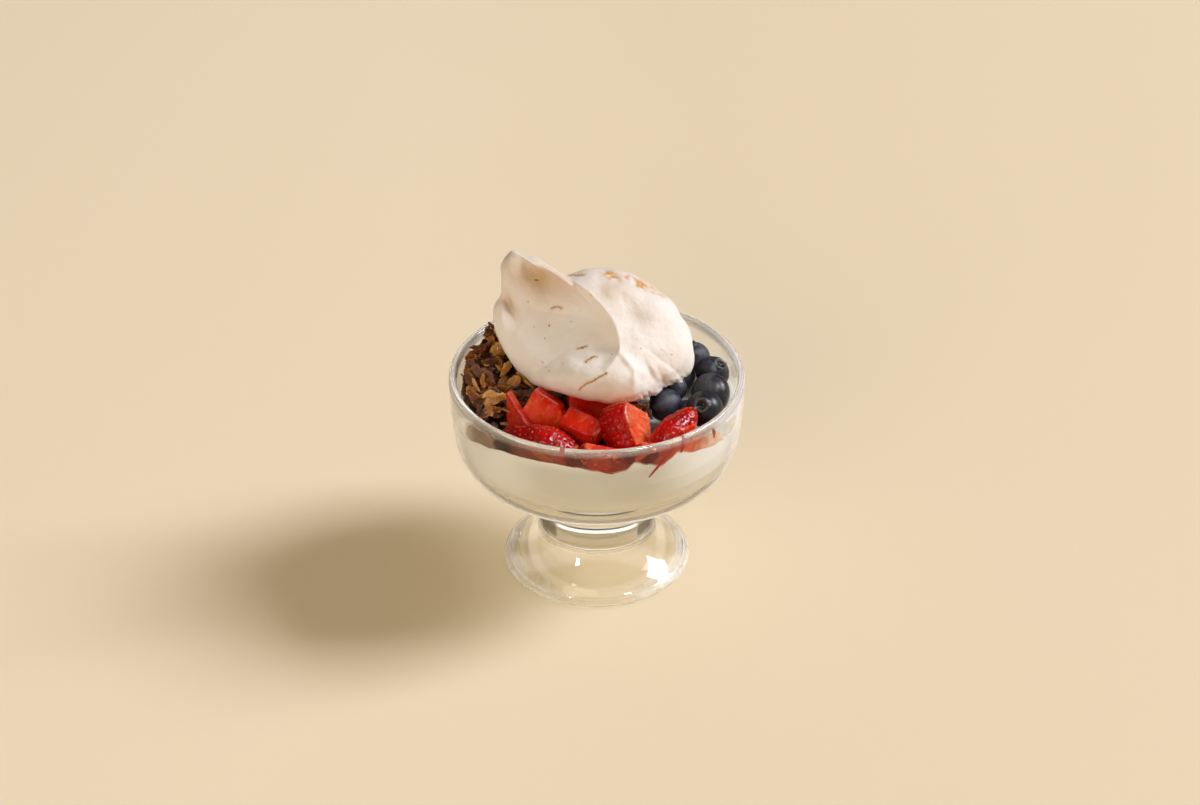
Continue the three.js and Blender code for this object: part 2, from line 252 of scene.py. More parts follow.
# brightness of the room by the sine of the height above the floor:
# as soft light, as wet skins and as clear glass see it
skySet = {
    "soft": [(0.22, (0.03, 0.026, 0.026)), (0.42, (0.29, 0.25, 0.174))],
    "inWet": [(0.22, (0.01, 0.01, 0.01)), (0.42, (0.07, 0.066, 0.06))],
    "inGlass": [(0.0, (0.92, 0.84, 0.72)), (0.12, (0.82, 0.76, 0.68)), (0.16, (0.07, 0.065, 0.07)),
                (0.28, (0.05, 0.045, 0.05)), (0.36, (0.6, 0.57, 0.54)), (0.42, (2.2, 2.15, 2.1)),
                (0.62, (2.2, 2.15, 2.1)), (0.68, (0.3, 0.26, 0.2))],
}
for name, values in lightSet.items():
    direction = Vector(values["from"]).normalized()
    clearSelection()
    bpy.ops.object.light_add(type='AREA', location=Vector((0, 0, 0.06)) + direction * values["distance"])
    lamp = bpy.context.object
    lamp.name = name + "Light"
    lamp.data.size = values["size"]
    lamp.data.energy = values["power"]
    lamp.data.color = values["color"]
    lamp.rotation_euler = direction.to_track_quat('Z', 'Y').to_euler()
    lamp.visible_glossy = name != "fill"
    lamp.visible_diffuse = name in ("key", "fill")      # the others only put glints on what is wet
    if values["hideInGlass"]:
        lamp.data.use_nodes = True
        lampTree = lamp.data.node_tree
        lampPath = lampTree.nodes.new("ShaderNodeLightPath")
        lampShare = lampTree.nodes.new("ShaderNodeMath")
        lampShare.operation = 'MULTIPLY_ADD'
        lampShare.inputs[1].default_value = -values["hideInGlass"]
        lampShare.inputs[2].default_value = 1
        lampTree.links.new(lampPath.outputs["Is Singular Ray"], lampShare.inputs[0])
        lampTree.links.new(lampShare.outputs[0], lampTree.nodes["Emission"].inputs["Strength"])

world = bpy.data.worlds.new("paleStudio")
bpy.context.scene.world = world
world.use_nodes = True
sky = world.node_tree
skyPlace = sky.nodes.new("ShaderNodeTexCoord")
skyHeight = sky.nodes.new("ShaderNodeSeparateXYZ")
sky.links.new(skyPlace.outputs["Generated"], skyHeight.inputs[0])
skyPath = sky.nodes.new("ShaderNodeLightPath")
wetChoice, glassChoice = sky.nodes.new("ShaderNodeMixRGB"), sky.nodes.new("ShaderNodeMixRGB")
sky.links.new(skyPath.outputs["Is Glossy Ray"], wetChoice.inputs[0])
sky.links.new(skyPath.outputs["Is Singular Ray"], glassChoice.inputs[0])
sky.links.new(wetChoice.outputs[0], glassChoice.inputs[1])
sky.links.new(glassChoice.outputs[0], sky.nodes["Background"].inputs["Color"])
for kind, socket in (("soft", wetChoice.inputs[1]), ("inWet", wetChoice.inputs[2]),
                     ("inGlass", glassChoice.inputs[2])):
    glow = sky.nodes.new("ShaderNodeValToRGB")
    while len(glow.color_ramp.elements) < len(skySet[kind]):
        glow.color_ramp.elements.new(0.5)
    for element, (position, color) in zip(glow.color_ramp.elements, skySet[kind]):
        element.position, element.color = position, (*color, 1)
    sky.links.new(skyHeight.outputs["Z"], glow.inputs[0])
    sky.links.new(glow.outputs[0], socket)
bpy.context.scene.view_settings.view_transform = 'Standard'
bpy.context.scene.cycles.use_denoising = True
bpy.context.scene.cycles.max_bounces = 20
bpy.context.scene.cycles.glossy_bounces = 16
bpy.context.scene.cycles.transmission_bounces = 16
bpy.context.scene.cycles.transparent_max_bounces = 16
bpy.context.scene.cycles.sample_clamp_indirect = 6

clearSelection()
bpy.ops.mesh.primitive_plane_add(size=6, location=(0, 0, -0.0002))
floor = bpy.context.object
floor.name = "floor"
floorFinish = Finish("paleFloor")
# painted light: the floor is painted lighter on the left, to make up for the key lamp falling off there
floorAcross = floorFinish.node("SeparateXYZ", Vector=floorFinish.place()).outputs["X"]
floorAcross = floorFinish.math("ADD", floorAcross, floorFinish.math("MULTIPLY", floorFinish.noise(3, 2), 0.2))
floorToneAndPaintedLight = floorFinish.ramp(floorAcross, (0.0, linear(252, 233, 205)), (0.16, linear(247, 228, 199)))
floorFinish.feed(floorFinish.surface, Base_Color=floorToneAndPaintedLight, Roughness=0.9, Specular_IOR_Level=0.1)
floor.data.materials.append(floorFinish.material)

print("stage: glass dish")
dishSet = {
    "steps": 64,
    "footHollow": [(0, 14.6), (12, 13.8), (21, 10.6), (28, 4.6)],
    "foot": [(31.3, 0.0), (33.3, 0.0), (34.1, 2.0), (33.6, 3.9), (31.8, 4.9), (29.0, 6.9), (26.0, 9.7), (23.2, 12.9),
             (20.8, 16.0), (18.9, 19.6)],
    "bowl": [(18.8, 28.6), (20.2, 32.6), (24.0, 35.8), (36.0, 39.2), (42.4, 42.0), (47.0, 45.5), (50.2, 51.0),
             (51.6, 59.0), (52.2, 69.0), (52.65, 77.4)],
    "lip": [(52.2, 79.0), (51.15, 79.5), (50.1, 79.0), (49.7, 77.4)],
    "inside": [(49.2, 70.0), (48.6, 62.5), (46.8, 56.5), (43.2, 52.0), (37.0, 49.2), (27.0, 47.8), (0, 47.3)],
}


def insideRadius(z):
    # the bowl's inner wall at a height, mm
    wall = [dishSet["lip"][3]] + dishSet["inside"]
    for (r1, z1), (r0, z0) in zip(wall, wall[1:]):
        if z >= z0:
            return mix(r0, r1, clamp((z - z0) / (z1 - z0)))
    return 0


def keepOffWall(piece, reach):
    # a point that would go into the wall stops at it, as soft fruit is pressed flat
    for vertex in piece.data.vertices:
        limit = (insideRadius(vertex.co.z / mm) + reach) * mm
        r = hypot(vertex.co.x, vertex.co.y)
        if r > limit:
            vertex.co.x *= limit / r
            vertex.co.y *= limit / r


def spunPiece(name, rows, steps):
    mesh = bpy.data.meshes.new(name)
    mesh.from_pydata([(r * mm, 0, z * mm) for r, z in rows], [(i, i + 1) for i in range(len(rows) - 1)], [])
    piece = bpy.data.objects.new(name, mesh)
    bpy.context.collection.objects.link(piece)
    pick(piece)
    bpy.ops.object.mode_set(mode='EDIT')
    bpy.ops.mesh.select_all(action='SELECT')
    bpy.ops.mesh.spin(steps=steps, angle=2 * pi, center=(0, 0, 0), axis=(0, 0, 1))
    bpy.ops.mesh.select_all(action='SELECT')
    bpy.ops.mesh.remove_doubles(threshold=1e-6)
    bpy.ops.mesh.normals_make_consistent(inside=False)
    bpy.ops.object.mode_set(mode='OBJECT')
    bpy.ops.object.shade_smooth()
    return piece


dishRows = dishSet["footHollow"] + dishSet["foot"] + dishSet["bowl"] + dishSet["lip"] + dishSet["inside"]
dish = spunPiece("glassDish", dishRows, dishSet["steps"])
useModifier(dish, 'SUBSURF', levels=2, render_levels=2)


def glassFinish():
    f = Finish("clearGlass")
    edgeOn = f.node("LayerWeight", Blend=0.5).outputs["Facing"]
    parts = f.node("SeparateXYZ", Vector=f.place())
    height = f.math("MULTIPLY", parts.outputs["Z"], toRamp)
    side = f.math("MULTIPLY", f.math("ABSOLUTE", parts.outputs["X"]), toRamp)
    # painted shade: the glass is tinted lilac-grey and dark where it is seen edge-on
    tint = f.ramp(edgeOn, (0.6, (0.985, 0.99, 0.985, 1)), (0.72, (0.74, 0.72, 0.77, 1)),
                  (0.8, (0.985, 0.99, 0.985, 1)), (0.96, (0.985, 0.98, 0.985, 1)), (1.0, (0.55, 0.53, 0.58, 1)))
    # painted shade: the sides of the stem and of the rim are painted dark
    stem = f.math("MULTIPLY", f.ramp(height, (0.17, 0.0), (0.22, 1.0), (0.38, 1.0), (0.42, 0.0)),
                  f.ramp(edgeOn, (0.48, 0.0), (0.7, 0.85)))
    tint = f.blend(stem, tint, (0.30, 0.27, 0.24, 1))
    rimSidesPaintedShade = f.math("MULTIPLY", f.ramp(height, (0.945, 0.0), (0.96, 1.0)),
                      f.ramp(side, (0.3, 0.0), (0.52, 0.6), smooth=True))
    tint = f.blend(rimSidesPaintedShade, tint, (0.50, 0.47, 0.56, 1))
    # painted colour of the table seen through the foot, and painted shade under the bowl
    footPaintedTableTint, underBowlPaintedShade = (0.955, 0.905, 0.81, 1), (0.66, 0.61, 0.52, 1)
    depth = f.ramp(height, (0.0, footPaintedTableTint), (0.2, footPaintedTableTint), (0.37, (0.93, 0.9, 0.83, 1)),
                   (0.39, underBowlPaintedShade), (0.46, underBowlPaintedShade), (0.49, 1.0))
    tint = f.blend(1.0, tint, depth, 'MULTIPLY')
    f.feed(f.surface, Base_Color=tint, Roughness=0.0, IOR=1.5, Transmission_Weight=1.0)
    path = f.node("LightPath")
    clear = f.node("BsdfTransparent", Color=(0.93, 0.94, 0.93, 1))
    ripple = f.noise(14, 2)
    f.feed(f.surface, Normal=f.bump(ripple, 0.05, 0.004))
    # painted highlight: a milky white layer on the thick rounded edges of the rim, of the bottom of the bowl and of the
    # foot stands for the light that these edges gather
    thick = f.ramp(height, (0.49, 0.0), (0.52, 0.85), (0.6, 0.6), (0.8, 0.05))
    thick = f.math("MULTIPLY", thick, f.ramp(edgeOn, (0.66, 0.0), (0.82, 1.0), (0.97, 1.0), (1.0, 0.5)))
    mottled = f.ramp(f.noise(70, 3), (0.4, 0.25), (0.6, 1.0))
    footRimPaintedHighlight = f.math("MULTIPLY", f.ramp(height, (0.0, 0.0), (0.015, 0.6), (0.045, 0.6), (0.058, 0.0)), mottled)
    footRimPaintedHighlight = f.math("MULTIPLY", footRimPaintedHighlight, f.ramp(side, (0.1, 0.1), (0.25, 1.0)))
    rim = f.math("MAXIMUM", f.ramp(height, (0.955, 0.0), (0.965, 0.2)), footRimPaintedHighlight)
    # painted shade: dark corners and rings of the stem, and a dark line along the sides of the rim, in the milky layer
    stemCornersPaintedShade = f.math("MULTIPLY", f.ramp(side, (0.165, 0.0), (0.19, 0.7)),
                     f.ramp(height, (0.2, 0.0), (0.225, 1.0), (0.32, 1.0), (0.35, 0.0)))
    rings = f.ramp(height, (0.25, 0.0), (0.26, 0.6), (0.27, 0.0), (0.318, 0.0), (0.327, 0.6), (0.336, 0.0))
    rimPaintedDarkLine = f.math("MULTIPLY", f.ramp(height, (0.95, 0.0), (0.958, 0.36), (0.972, 0.36), (0.98, 0.0)),
                     f.ramp(side, (0.3, 0.0), (0.5, 1.0)))
    paintedDarkLines = f.math("MAXIMUM", f.math("MAXIMUM", stemCornersPaintedShade, rings), rimPaintedDarkLine)
    paintedLightTone = f.blend(f.math("MULTIPLY", paintedDarkLines, 1.6), (0.97, 0.94, 0.96, 1), (0.1, 0.085, 0.07, 1))
    paintedLightLayer = f.node("BsdfDiffuse", Color=paintedLightTone)
    paintedLightShare = f.math("MAXIMUM", f.math("MAXIMUM", thick, rim), paintedDarkLines)
    body = f.node("MixShader", Fac=paintedLightShare, i1=f.surface.outputs[0], i2=paintedLightLayer.outputs[0])
    # lamps and bounced light pass straight through, so that the glass doesn't darken what stands in it
    unbent = f.math("MAXIMUM", path.outputs["Is Shadow Ray"], path.outputs["Is Diffuse Ray"])
    both = f.node("MixShader", Fac=unbent, i1=body.outputs[0], i2=clear.outputs[0])
    f.feed(f.output, Surface=both.outputs[0])
    return f.material


handIn(dish, glassFinish(), "glass", "glass_dish")

print("stage: meringue")
meringueSet = {
    "centre": Vector((-2.4, 3, 92.5)),
    "tilt": cameraSet["elevation"],
    "rest": 79.3,
    "columns": 384, "rows": 180,
    "pole": (6.0, 4.2),
    "frontBulge": 16, "backBulge": 24, "backLean": Vector((0, 0.74, -0.67)),
    "hornForward": 9, "scoopDepth": 8.2, "scoopWidth": 8, "crestRound": 0.5, "crestRise": 0.9,
    "crest": {"right": 10.2, "low": -5, "bend": 0.0252, "power": 2.05, "lowerBend": 0.28},
    "brokenOpen": [(7.6, 20.3, 3.4, 1.4, 0.3), (18.5, 17.2, 6.4, 1.3, 0.5)],
    "outline": [
        (35.1, 0), (30.2, 9.8), (22.8, 16.5), (12.3, 22.1), (0, 23.3), (-8.8, 21.2), (-15.6, 25.0), (-19.6, 26.9),
        (-23.0, 26.9), (-26.9, 28.8), (-30.3, 25.0), (-31.4, 19.0), (-31.2, 14.4), (-33.4, 10.4), (-34.2, 6.0),
        (-33.2, 1.0), (-28.8, -8.1), (-21.1, -16.5), (-12.3, -20.7), (0, -23.7), (11.2, -24.3), (19.3, -22.8),
        (26.4, -18.6), (33.0, -16.2), (36.6, -9.5),
    ],
    # dents and swellings of the front: right, up, reach across and along, turn, height
    "relief": [
        (14.5, 6.0, 3.6, 8.0, 24, -1.3), (-28.9, 11.2, 1.3, 6.0, 26, -3.2), (-31.2, 5.5, 1.6, 5.0, 8, 1.5),
        (-24.5, 12.0, 1.6, 6.5, 20, 0.7), (-28.0, -1.5, 1.4, 5.0, -24, -0.7),
        (13.0, -9.5, 1.3, 4.0, 39, 1.2), (15.5, -16.5, 1.3, 5.0, -6, 1.4), (20.4, -13.2, 1.1, 3.5, 27, -0.9),
        (22.8, -13.9, 0.9, 3.2, 27, 0.7), (25.3, -17.0, 1.4, 2.4, 0, -0.9), (30.0, -14.6, 1.5, 1.5, 0, -0.8),
        (-15.0, -2.0, 9.0, 7.0, 0, 0.9), (24.0, 8.0, 6.0, 5.0, 20, 0.9), (-21.0, 22.0, 2.2, 6.0, 25, -0.6),
    ],
    # hairline cracks as points right and up, mm
    "cracks": [
        [(-13.2, 9.0), (-11.6, 9.7), (-9.9, 9.2)], [(-19.1, 18.9), (-17.9, 18.8)],
        [(-4.2, -5.5), (-2.4, -5.0), (-0.9, -4.7)], [(-1.4, -10.0), (0.4, -9.0), (2.5, -8.1)],
        [(-3.6, -19.2), (-0.6, -17.0), (0.8, -16.6), (3.6, -15.0), (5.7, -13.8)],
        [(-7.2, 20.6), (-4.6, 20.5), (-2.0, 20.5)],
    ],
    "pits": [(7.6, -7.1), (-6.6, 4.2), (-14.2, 2.9), (-15.7, -1.3), (-16.4, -10.0), (-15.2, -11.5), (-14.4, -13.0),
             (28.3, -7.4), (26.4, -19.0), (30.5, -16.0)],
}


def closedCurve(points, count):
    # evenly spaced points on a smooth closed curve through the given ones
    fine = []
    total = len(points)
    for i in range(total):
        p0, p1, p2, p3 = (Vector(points[(i + k) % total]) for k in (-1, 0, 1, 2))
        t1, t2, t3 = (max((b - a).length, 1e-6) ** 0.5 for a, b in ((p0, p1), (p1, p2), (p2, p3)))
        tangent1 = ((p1 - p0) / t1 - (p2 - p0) / (t1 + t2) + (p2 - p1) / t2) * t2
        tangent2 = ((p2 - p1) / t2 - (p3 - p1) / (t2 + t3) + (p3 - p2) / t3) * t2
        for k in range(40):
            t = k / 40
            fine.append(p1 * (2 * t ** 3 - 3 * t ** 2 + 1) + tangent1 * (t ** 3 - 2 * t ** 2 + t)
                        + p2 * (3 * t ** 2 - 2 * t ** 3) + tangent2 * (t ** 3 - t ** 2))
    fine.append(fine[0])
    lengths = [0]
    for a, b in zip(fine, fine[1:]):
        lengths.append(lengths[-1] + (b - a).length)
    spaced, k = [], 0
    for i in range(count):
        goal = lengths[-1] * i / count
        while lengths[k + 1] < goal:
            k += 1
        share = (goal - lengths[k]) / (lengths[k + 1] - lengths[k])
        spaced.append(fine[k].lerp(fine[k + 1], share))
    return spaced


def softFloor(height, floorHeight, width):
    if height >= floorHeight + width:
        return height
    if height <= floorHeight - width:
        return floorHeight
    return floorHeight + (height - floorHeight + width) ** 2 / (4 * width)


def leftOfCrest(u, v):
    # how far a place on the front is to the left of the line of the crest, mm
    crest = meringueSet["crest"]
    crestU = crest["right"] - crest["bend"] * max(0, v - crest["low"]) ** crest["power"]
    return crestU - crest["lowerBend"] * max(0, crest["low"] - v) ** 1.35 - u


def reliefAt(u, v):
    total = 0
    for right, high, across, along, turn, height in meringueSet["relief"]:
        c, q = cos(radians(turn)), sin(radians(turn))
        du, dv = u - right, v - high
        a, b = (du * c + dv * q) / across, (dv * c - du * q) / along
        total += height * exp(-a * a - b * b)
    return total


def makeMeringue():
    s = meringueSet
    up = Vector((0, sin(s["tilt"]), cos(s["tilt"])))
    front = Vector((0, -cos(s["tilt"]), sin(s["tilt"])))
    edge = closedCurve(s["outline"], s["columns"])

    def pointAt(turn, way):
        edgeU, edgeV = edge[round(turn * s["columns"]) % s["columns"]]
        angle = way * pi
        share = max(0, sin(angle)) ** 0.9
        # broken edge at the lower right
        torn = smoothstep(edgeU, 4, 12) * smoothstep(-edgeV, 12, 17) * smoothstep(share, 0.9, 1)
        torn *= (0.5 * noise.noise(Vector((edgeU * 0.28, edgeV * 0.28, 3)))
                 + 0.6 * noise.noise(Vector((edgeU * 0.7, edgeV * 0.7, way * 5)))
                 + 0.4 * noise.noise(Vector((edgeU * 1.9, edgeV * 1.9, way * 17))))
        u = mix(s["pole"][0], edgeU * (1 + torn * 0.045), share)
        v = mix(s["pole"][1], edgeV * (1 + torn * 0.055), share)
        lift = max(0, (s["rest"] - s["centre"].z - edgeV * up.z) / front.z)
        horn = s["hornForward"] * (1 - smoothstep(edgeU, -26, -8)) * smoothstep(edgeV, 10, 24)
        # leans out below, without a cone round the pole
        leaning = 0.234 * (s["pole"][1] - v + hypot(s["pole"][1] - v, 3))
        outer = smoothstep(share, 0.3, 1)
        point = s["centre"] + up * v + front * (mix(leaning, lift, outer) + horn * share * share)
        point.x += u
        if way <= 0.5:
            # a round dome in the middle that meets the outline at the edge
            dome = hypot((u - 3.5) / 34, (v - 0.5) / 26.5)
            level = min(1, mix(dome, share, smoothstep(share, 0.45, 0.97)))
            bulge = s["frontBulge"] * max(0, 1 - level ** 2.1) ** 0.5
            left = leftOfCrest(u, v)
            into = 0.5 * (left + (left ** 2 + s["crestRound"] ** 2) ** 0.5)
            scoop = (1 - exp(-into / s["scoopWidth"])) * (1 - smoothstep(share, 0.5, 1))
            scoop *= smoothstep(v, -21, -2) * (1 - 0.3 * smoothstep(v, 14, 26))
            ridge = s["crestRise"] * exp(-abs(left) / 2.2) * smoothstep(v, -16, -4) * (1 - smoothstep(share, 0.7, 1))
            depth = s["scoopDepth"] * scoop + leaning * (1 - outer) * 0.15
            point += front * (bulge - depth + ridge + reliefAt(u, v) * (1 - smoothstep(share, 0.9, 1)))
        else:
            point += s["backLean"] * (-s["backBulge"] * cos(angle))
        point.z = softFloor(point.z, s["rest"], 3)
        return point

    piece = shapedSphere("meringuePiece", s["columns"], s["rows"], pointAt)
    # broad lumps and a fine grain, along the normals; crumbs where the back of the top has broken open
    place, toastAndShade, broken, soaked, onFront = [], [], [], [], []
    normals = [vertex.normal.copy() for vertex in piece.data.vertices]
    for vertex, normal in zip(piece.data.vertices, normals):
        p = vertex.co / mm
        u, v = p.x - s["centre"].x, (p - s["centre"]).dot(up)
        atBack = smoothstep(-normal.dot(front), -0.35, 0.1)
        opened = sum(exp(-((u - right) / across) ** 2 - ((v - high + (u - right) * slope) / along) ** 2)
                     for right, high, across, along, slope in s["brokenOpen"])
        opened *= clamp(0.75 + 1.6 * noise.noise(p * 0.45 + Vector((0, 5, 2))))
        lumps = noise.noise(p * 0.09) * 0.55 + noise.noise(p * 0.21 + Vector((7, 3, 1))) * 0.32
        grain = noise.noise(p * 0.5) * 0.12 + noise.noise(p * 1.1) * 0.06
        grain += atBack * 0.5 * noise.noise(p * 0.16 + Vector((1, 9, 4)))
        crumbs = opened * (noise.noise(p * 0.9) * 0.6 + noise.noise(p * 1.9) * 0.4 - 0.45)
        vertex.co += normal * ((lumps + grain + crumbs) * mm)
        place += [u, v, 0]
        # painted shade mixed with toast: the tan left of the crest, on the lower facet, along the foot, in the crease,
        # in the dents and in the valley right of the crest is painted shade; at the top of the horn it is part toast
        # and part painted shade; the back gets an even light tan
        shade = exp(-((leftOfCrest(u, v) - 4) / 4.5) ** 2) * smoothstep(v, -8, 4)
        horn = exp(-((u + 19) / 11) ** 2 - ((v - 20 + (u + 19) * 0.25) / 6.5) ** 2)
        facet = exp(-((u - 7) / 8.5) ** 2 - ((v + 18.5) / 4.5) ** 2)
        foot = exp(-((u + 4) / 20) ** 2 - ((v + 22.5) / 2.2) ** 2)
        crease = exp(-((u + 28.2 + 0.45 * (v - 11)) / 2.4) ** 2 - ((v - 11) / 5.5) ** 2)
        dents = exp(-((u - 25) / 4) ** 2 - ((v + 14.5) / 3) ** 2)
        valley = exp(-((u - 8) / 6) ** 2 - ((v - 15) / 4) ** 2)
        tanFromShadeAndToast = 0.12 * shade + 0.95 * horn + 0.42 * facet + 0.4 * foot + 0.55 * crease + 0.35 * dents + 0.55 * valley
        toastAndShade.append(clamp(tanFromShadeAndToast * (1 - atBack) + 0.25 * atBack))
        soaked.append((1 - smoothstep(p.z, 80.0, 84.0)) * exp(-((u + 3) / 15) ** 4) * smoothstep(-p.y, 2, 8))
        broken.append(clamp(opened * 1.8))
        onFront.append(smoothstep(normal.dot(front), -0.1, 0.15))
    piece.data.update()
    setValues(piece, "sheet", place, 'FLOAT_VECTOR')
    setValues(piece, "toastAndShade", toastAndShade)
    setValues(piece, "broken", broken)
    setValues(piece, "soaked", soaked)
    setValues(piece, "front", onFront)
    return piece


def meringueFinish():
    f = Finish("bakedMeringue")
    place = f.place()
    sheet = f.attribute("sheet", "Vector")
    base = f.ramp(f.noise(38, 3, 0.55, place), (0.25, linear(243, 228, 222)), (0.5, linear(250, 239, 235)),
                  (0.75, linear(253, 247, 246)))
    # tan from toast and painted shade, laid on by the attribute made with the meringue
    toastAndShadeShare = f.math("MULTIPLY", f.attribute("toastAndShade"), f.ramp(f.noise(90, 4, 0.6, place), (0.3, 0.6), (0.7, 1.0)))
    base = f.blend(toastAndShadeShare, base, linear(206, 168, 122))
    golden = f.math("MULTIPLY", f.attribute("broken"), f.ramp(f.noise(300, 4, 0.6, place), (0.35, 0.25), (0.6, 1.0)))
    base = f.blend(golden, base, linear(222, 158, 72))
    soaked = f.math("MULTIPLY", f.attribute("soaked"), f.ramp(f.noise(160, 4, 0.6, place), (0.35, 0.4), (0.6, 1.0)))
    base = f.blend(soaked, base, linear(228, 84, 50))
    # hairline cracks, wandering a little from straight lines
    shiver = f.node("TexNoise", Scale=1.1, Detail=3, Vector=sheet).outputs["Color"]
    shiver = f.vector("MULTIPLY", f.vector("SUBTRACT", shiver, (0.5, 0.5, 0.5)), (1.6, 1.6, 0))
    wandering = f.vector("ADD", sheet, shiver)
    nearest = None
    for crack in meringueSet["cracks"]:
        for (ax, ay), (bx, by) in zip(crack, crack[1:]):
            along = Vector((bx - ax, by - ay, 0))
            fromStart = f.vector("SUBTRACT", wandering, (ax, ay, 0))
            share = f.vector("DOT_PRODUCT", fromStart, along / along.length_squared, "Value")
            share = f.node("Clamp", Value=share).outputs[0]
            foot = f.node("VectorMath", {"operation": 'SCALE'}, i0=along, Scale=share).outputs[0]
            away = f.vector("DISTANCE", fromStart, foot, "Value")
            nearest = f.math("MINIMUM", nearest, away) if nearest else away
    pits = None
    for x, y in meringueSet["pits"]:
        away = f.vector("DISTANCE", wandering, (x, y, 0), "Value")
        pits = f.math("MINIMUM", pits, away) if pits else away
    onFront = f.ramp(f.attribute("front"), (0.4, 0.0), (0.6, 1.0))
    cracks = f.math("MULTIPLY", f.ramp(nearest, (0.05, 1.0), (0.2, 0.0)), onFront)
    stainAndShade = f.math("MULTIPLY", f.ramp(nearest, (0.1, 0.75), (1.0, 0.0), smooth=True), onFront)
    pitMask = f.math("MULTIPLY", f.ramp(pits, (0.12, 1.0), (0.3, 0.0)), onFront)
    pores = f.node("TexVoronoi", Scale=420, Vector=place).outputs["Distance"]
    rare = f.ramp(f.noise(140, 2, 0.5, place), (0.54, 0.0), (0.64, 1.0))
    poreMask = f.math("MULTIPLY", f.ramp(pores, (0.04, 1.0), (0.12, 0.0)), rare)
    # painted shade: a darker halo round the cracks, part stain and part painted shade, and painted shade in the cracks,
    # pits and pores
    base = f.blend(stainAndShade, base, linear(226, 190, 150))
    base = f.blend(cracks, base, linear(200, 128, 66))
    base = f.blend(f.math("MULTIPLY", pitMask, 0.8), base, linear(190, 128, 84))
    base = f.blend(f.math("MULTIPLY", poreMask, 0.7), base, linear(190, 150, 116))
    holes = f.math("MAXIMUM", f.math("MAXIMUM", cracks, pitMask), poreMask)
    normal = f.bump(f.noise(1500, 4, 0.6, place), 0.2, 0.0002)
    normal = f.bump(f.noise(160, 5, 0.6, place), 0.42, 0.001, normal)
    normal = f.bump(holes, 1.0, -0.0004, normal)
    f.feed(f.surface, Base_Color=base, Roughness=0.6, Normal=normal, Subsurface_Weight=0.1, Subsurface_Scale=0.002,
           Specular_IOR_Level=0.3)
    return f.material


handIn(makeMeringue(), meringueFinish(), "meringue", "meringue")

print("stage: blueberries")
blueberrySet = {
    "segments": 80, "rings": 50, "lessWax": 0.3,      # the fourth berry is the darkest
    "berries": [
        ((34.9, 20.7, 72.2), 5.9, 0.94, (-0.3, 0.2, 0.9)),
        ((41.4, 10.3, 72.2), 6.2, 0.92, (0.5, -0.2, 0.8)),
        ((40.2, -3.8, 72.1), 7.5, 0.82, (0.7, 0.5, -0.4)),
        ((37.5, -18.1, 75.0), 6.5, 0.93, (-0.22, -0.68, 0.7)),
        ((24.0, -13.4, 73.6), 6.0, 0.94, (-0.6, 0.5, 0.5)),
        ((27.0, -0.4, 72.4), 5.0, 0.94, (0.1, 0.3, -0.9)),
        ((23.9, 27.7, 72.4), 6.0, 0.92, (0.2, 0.7, 0.6)),
        ((11.2, 35.0, 73.0), 6.3, 0.93, (-0.4, 0.5, 0.8)),
        ((31.4, -11.4, 69.0), 4.8, 0.93, (0.1, 0.3, -0.9)),
        ((30.3, 9.8, 70.4), 4.8, 0.93, (-0.2, 0.1, 0.9)),
    ],
}


def makeBlueberry(number, at, radius, flat, crown):
    s = blueberrySet

    def pointAt(turn, way):
        angle = way ** 1.45 * pi          # more rings round the crown
        around = turn * 2 * pi
        lobes = abs(cos(2.5 * around + number)) ** 1.3      # five pointed lobes
        ringAngle = 0.30 + 0.11 * lobes + 0.02 * sin(3 * around)
        ring = (0.012 + 0.085 * lobes) * exp(-((angle - ringAngle) / 0.06) ** 2)
        crater = 0.2 * (1 - smoothstep(angle, 0.16, 0.31 + 0.09 * lobes))
        navel = 0.06 * exp(-(angle / 0.07) ** 2)
        out = Vector((cos(around) * sin(angle), sin(around) * sin(angle), cos(angle)))
        dent = 0.03 * noise.noise(out * 1.3 + Vector((number * 5.1, 0, 0)))
        r = radius * (1 + ring - crater + navel + dent)
        across = r * sin(angle)
        return (across * cos(around), across * sin(around), r * cos(angle) * flat)

    berry = shapedSphere(f"berry{number}", s["segments"], s["rings"], pointAt)
    crownMask, navelMask = [], []
    for vertex in berry.data.vertices:
        angle = acos(clamp(vertex.co.normalized().z, -1, 1))
        crownMask.append(exp(-((angle - 0.36) / 0.07) ** 2))
        navelMask.append(1 - smoothstep(angle, 0.2, 0.3))
    setValues(berry, "crown", crownMask)
    setValues(berry, "navel", navelMask)
    setValues(berry, "tone", [(number * 0.618) % 1] * len(crownMask))
    setValues(berry, "wax", [s["lessWax"] if number == 4 else 1.0] * len(crownMask))
    move(berry, Matrix.Translation(Vector(at) * mm) @ axesFrom(crown, (0.31, 0.9, 0.27)).to_4x4())
    keepOffWall(berry, -0.1)
    return berry


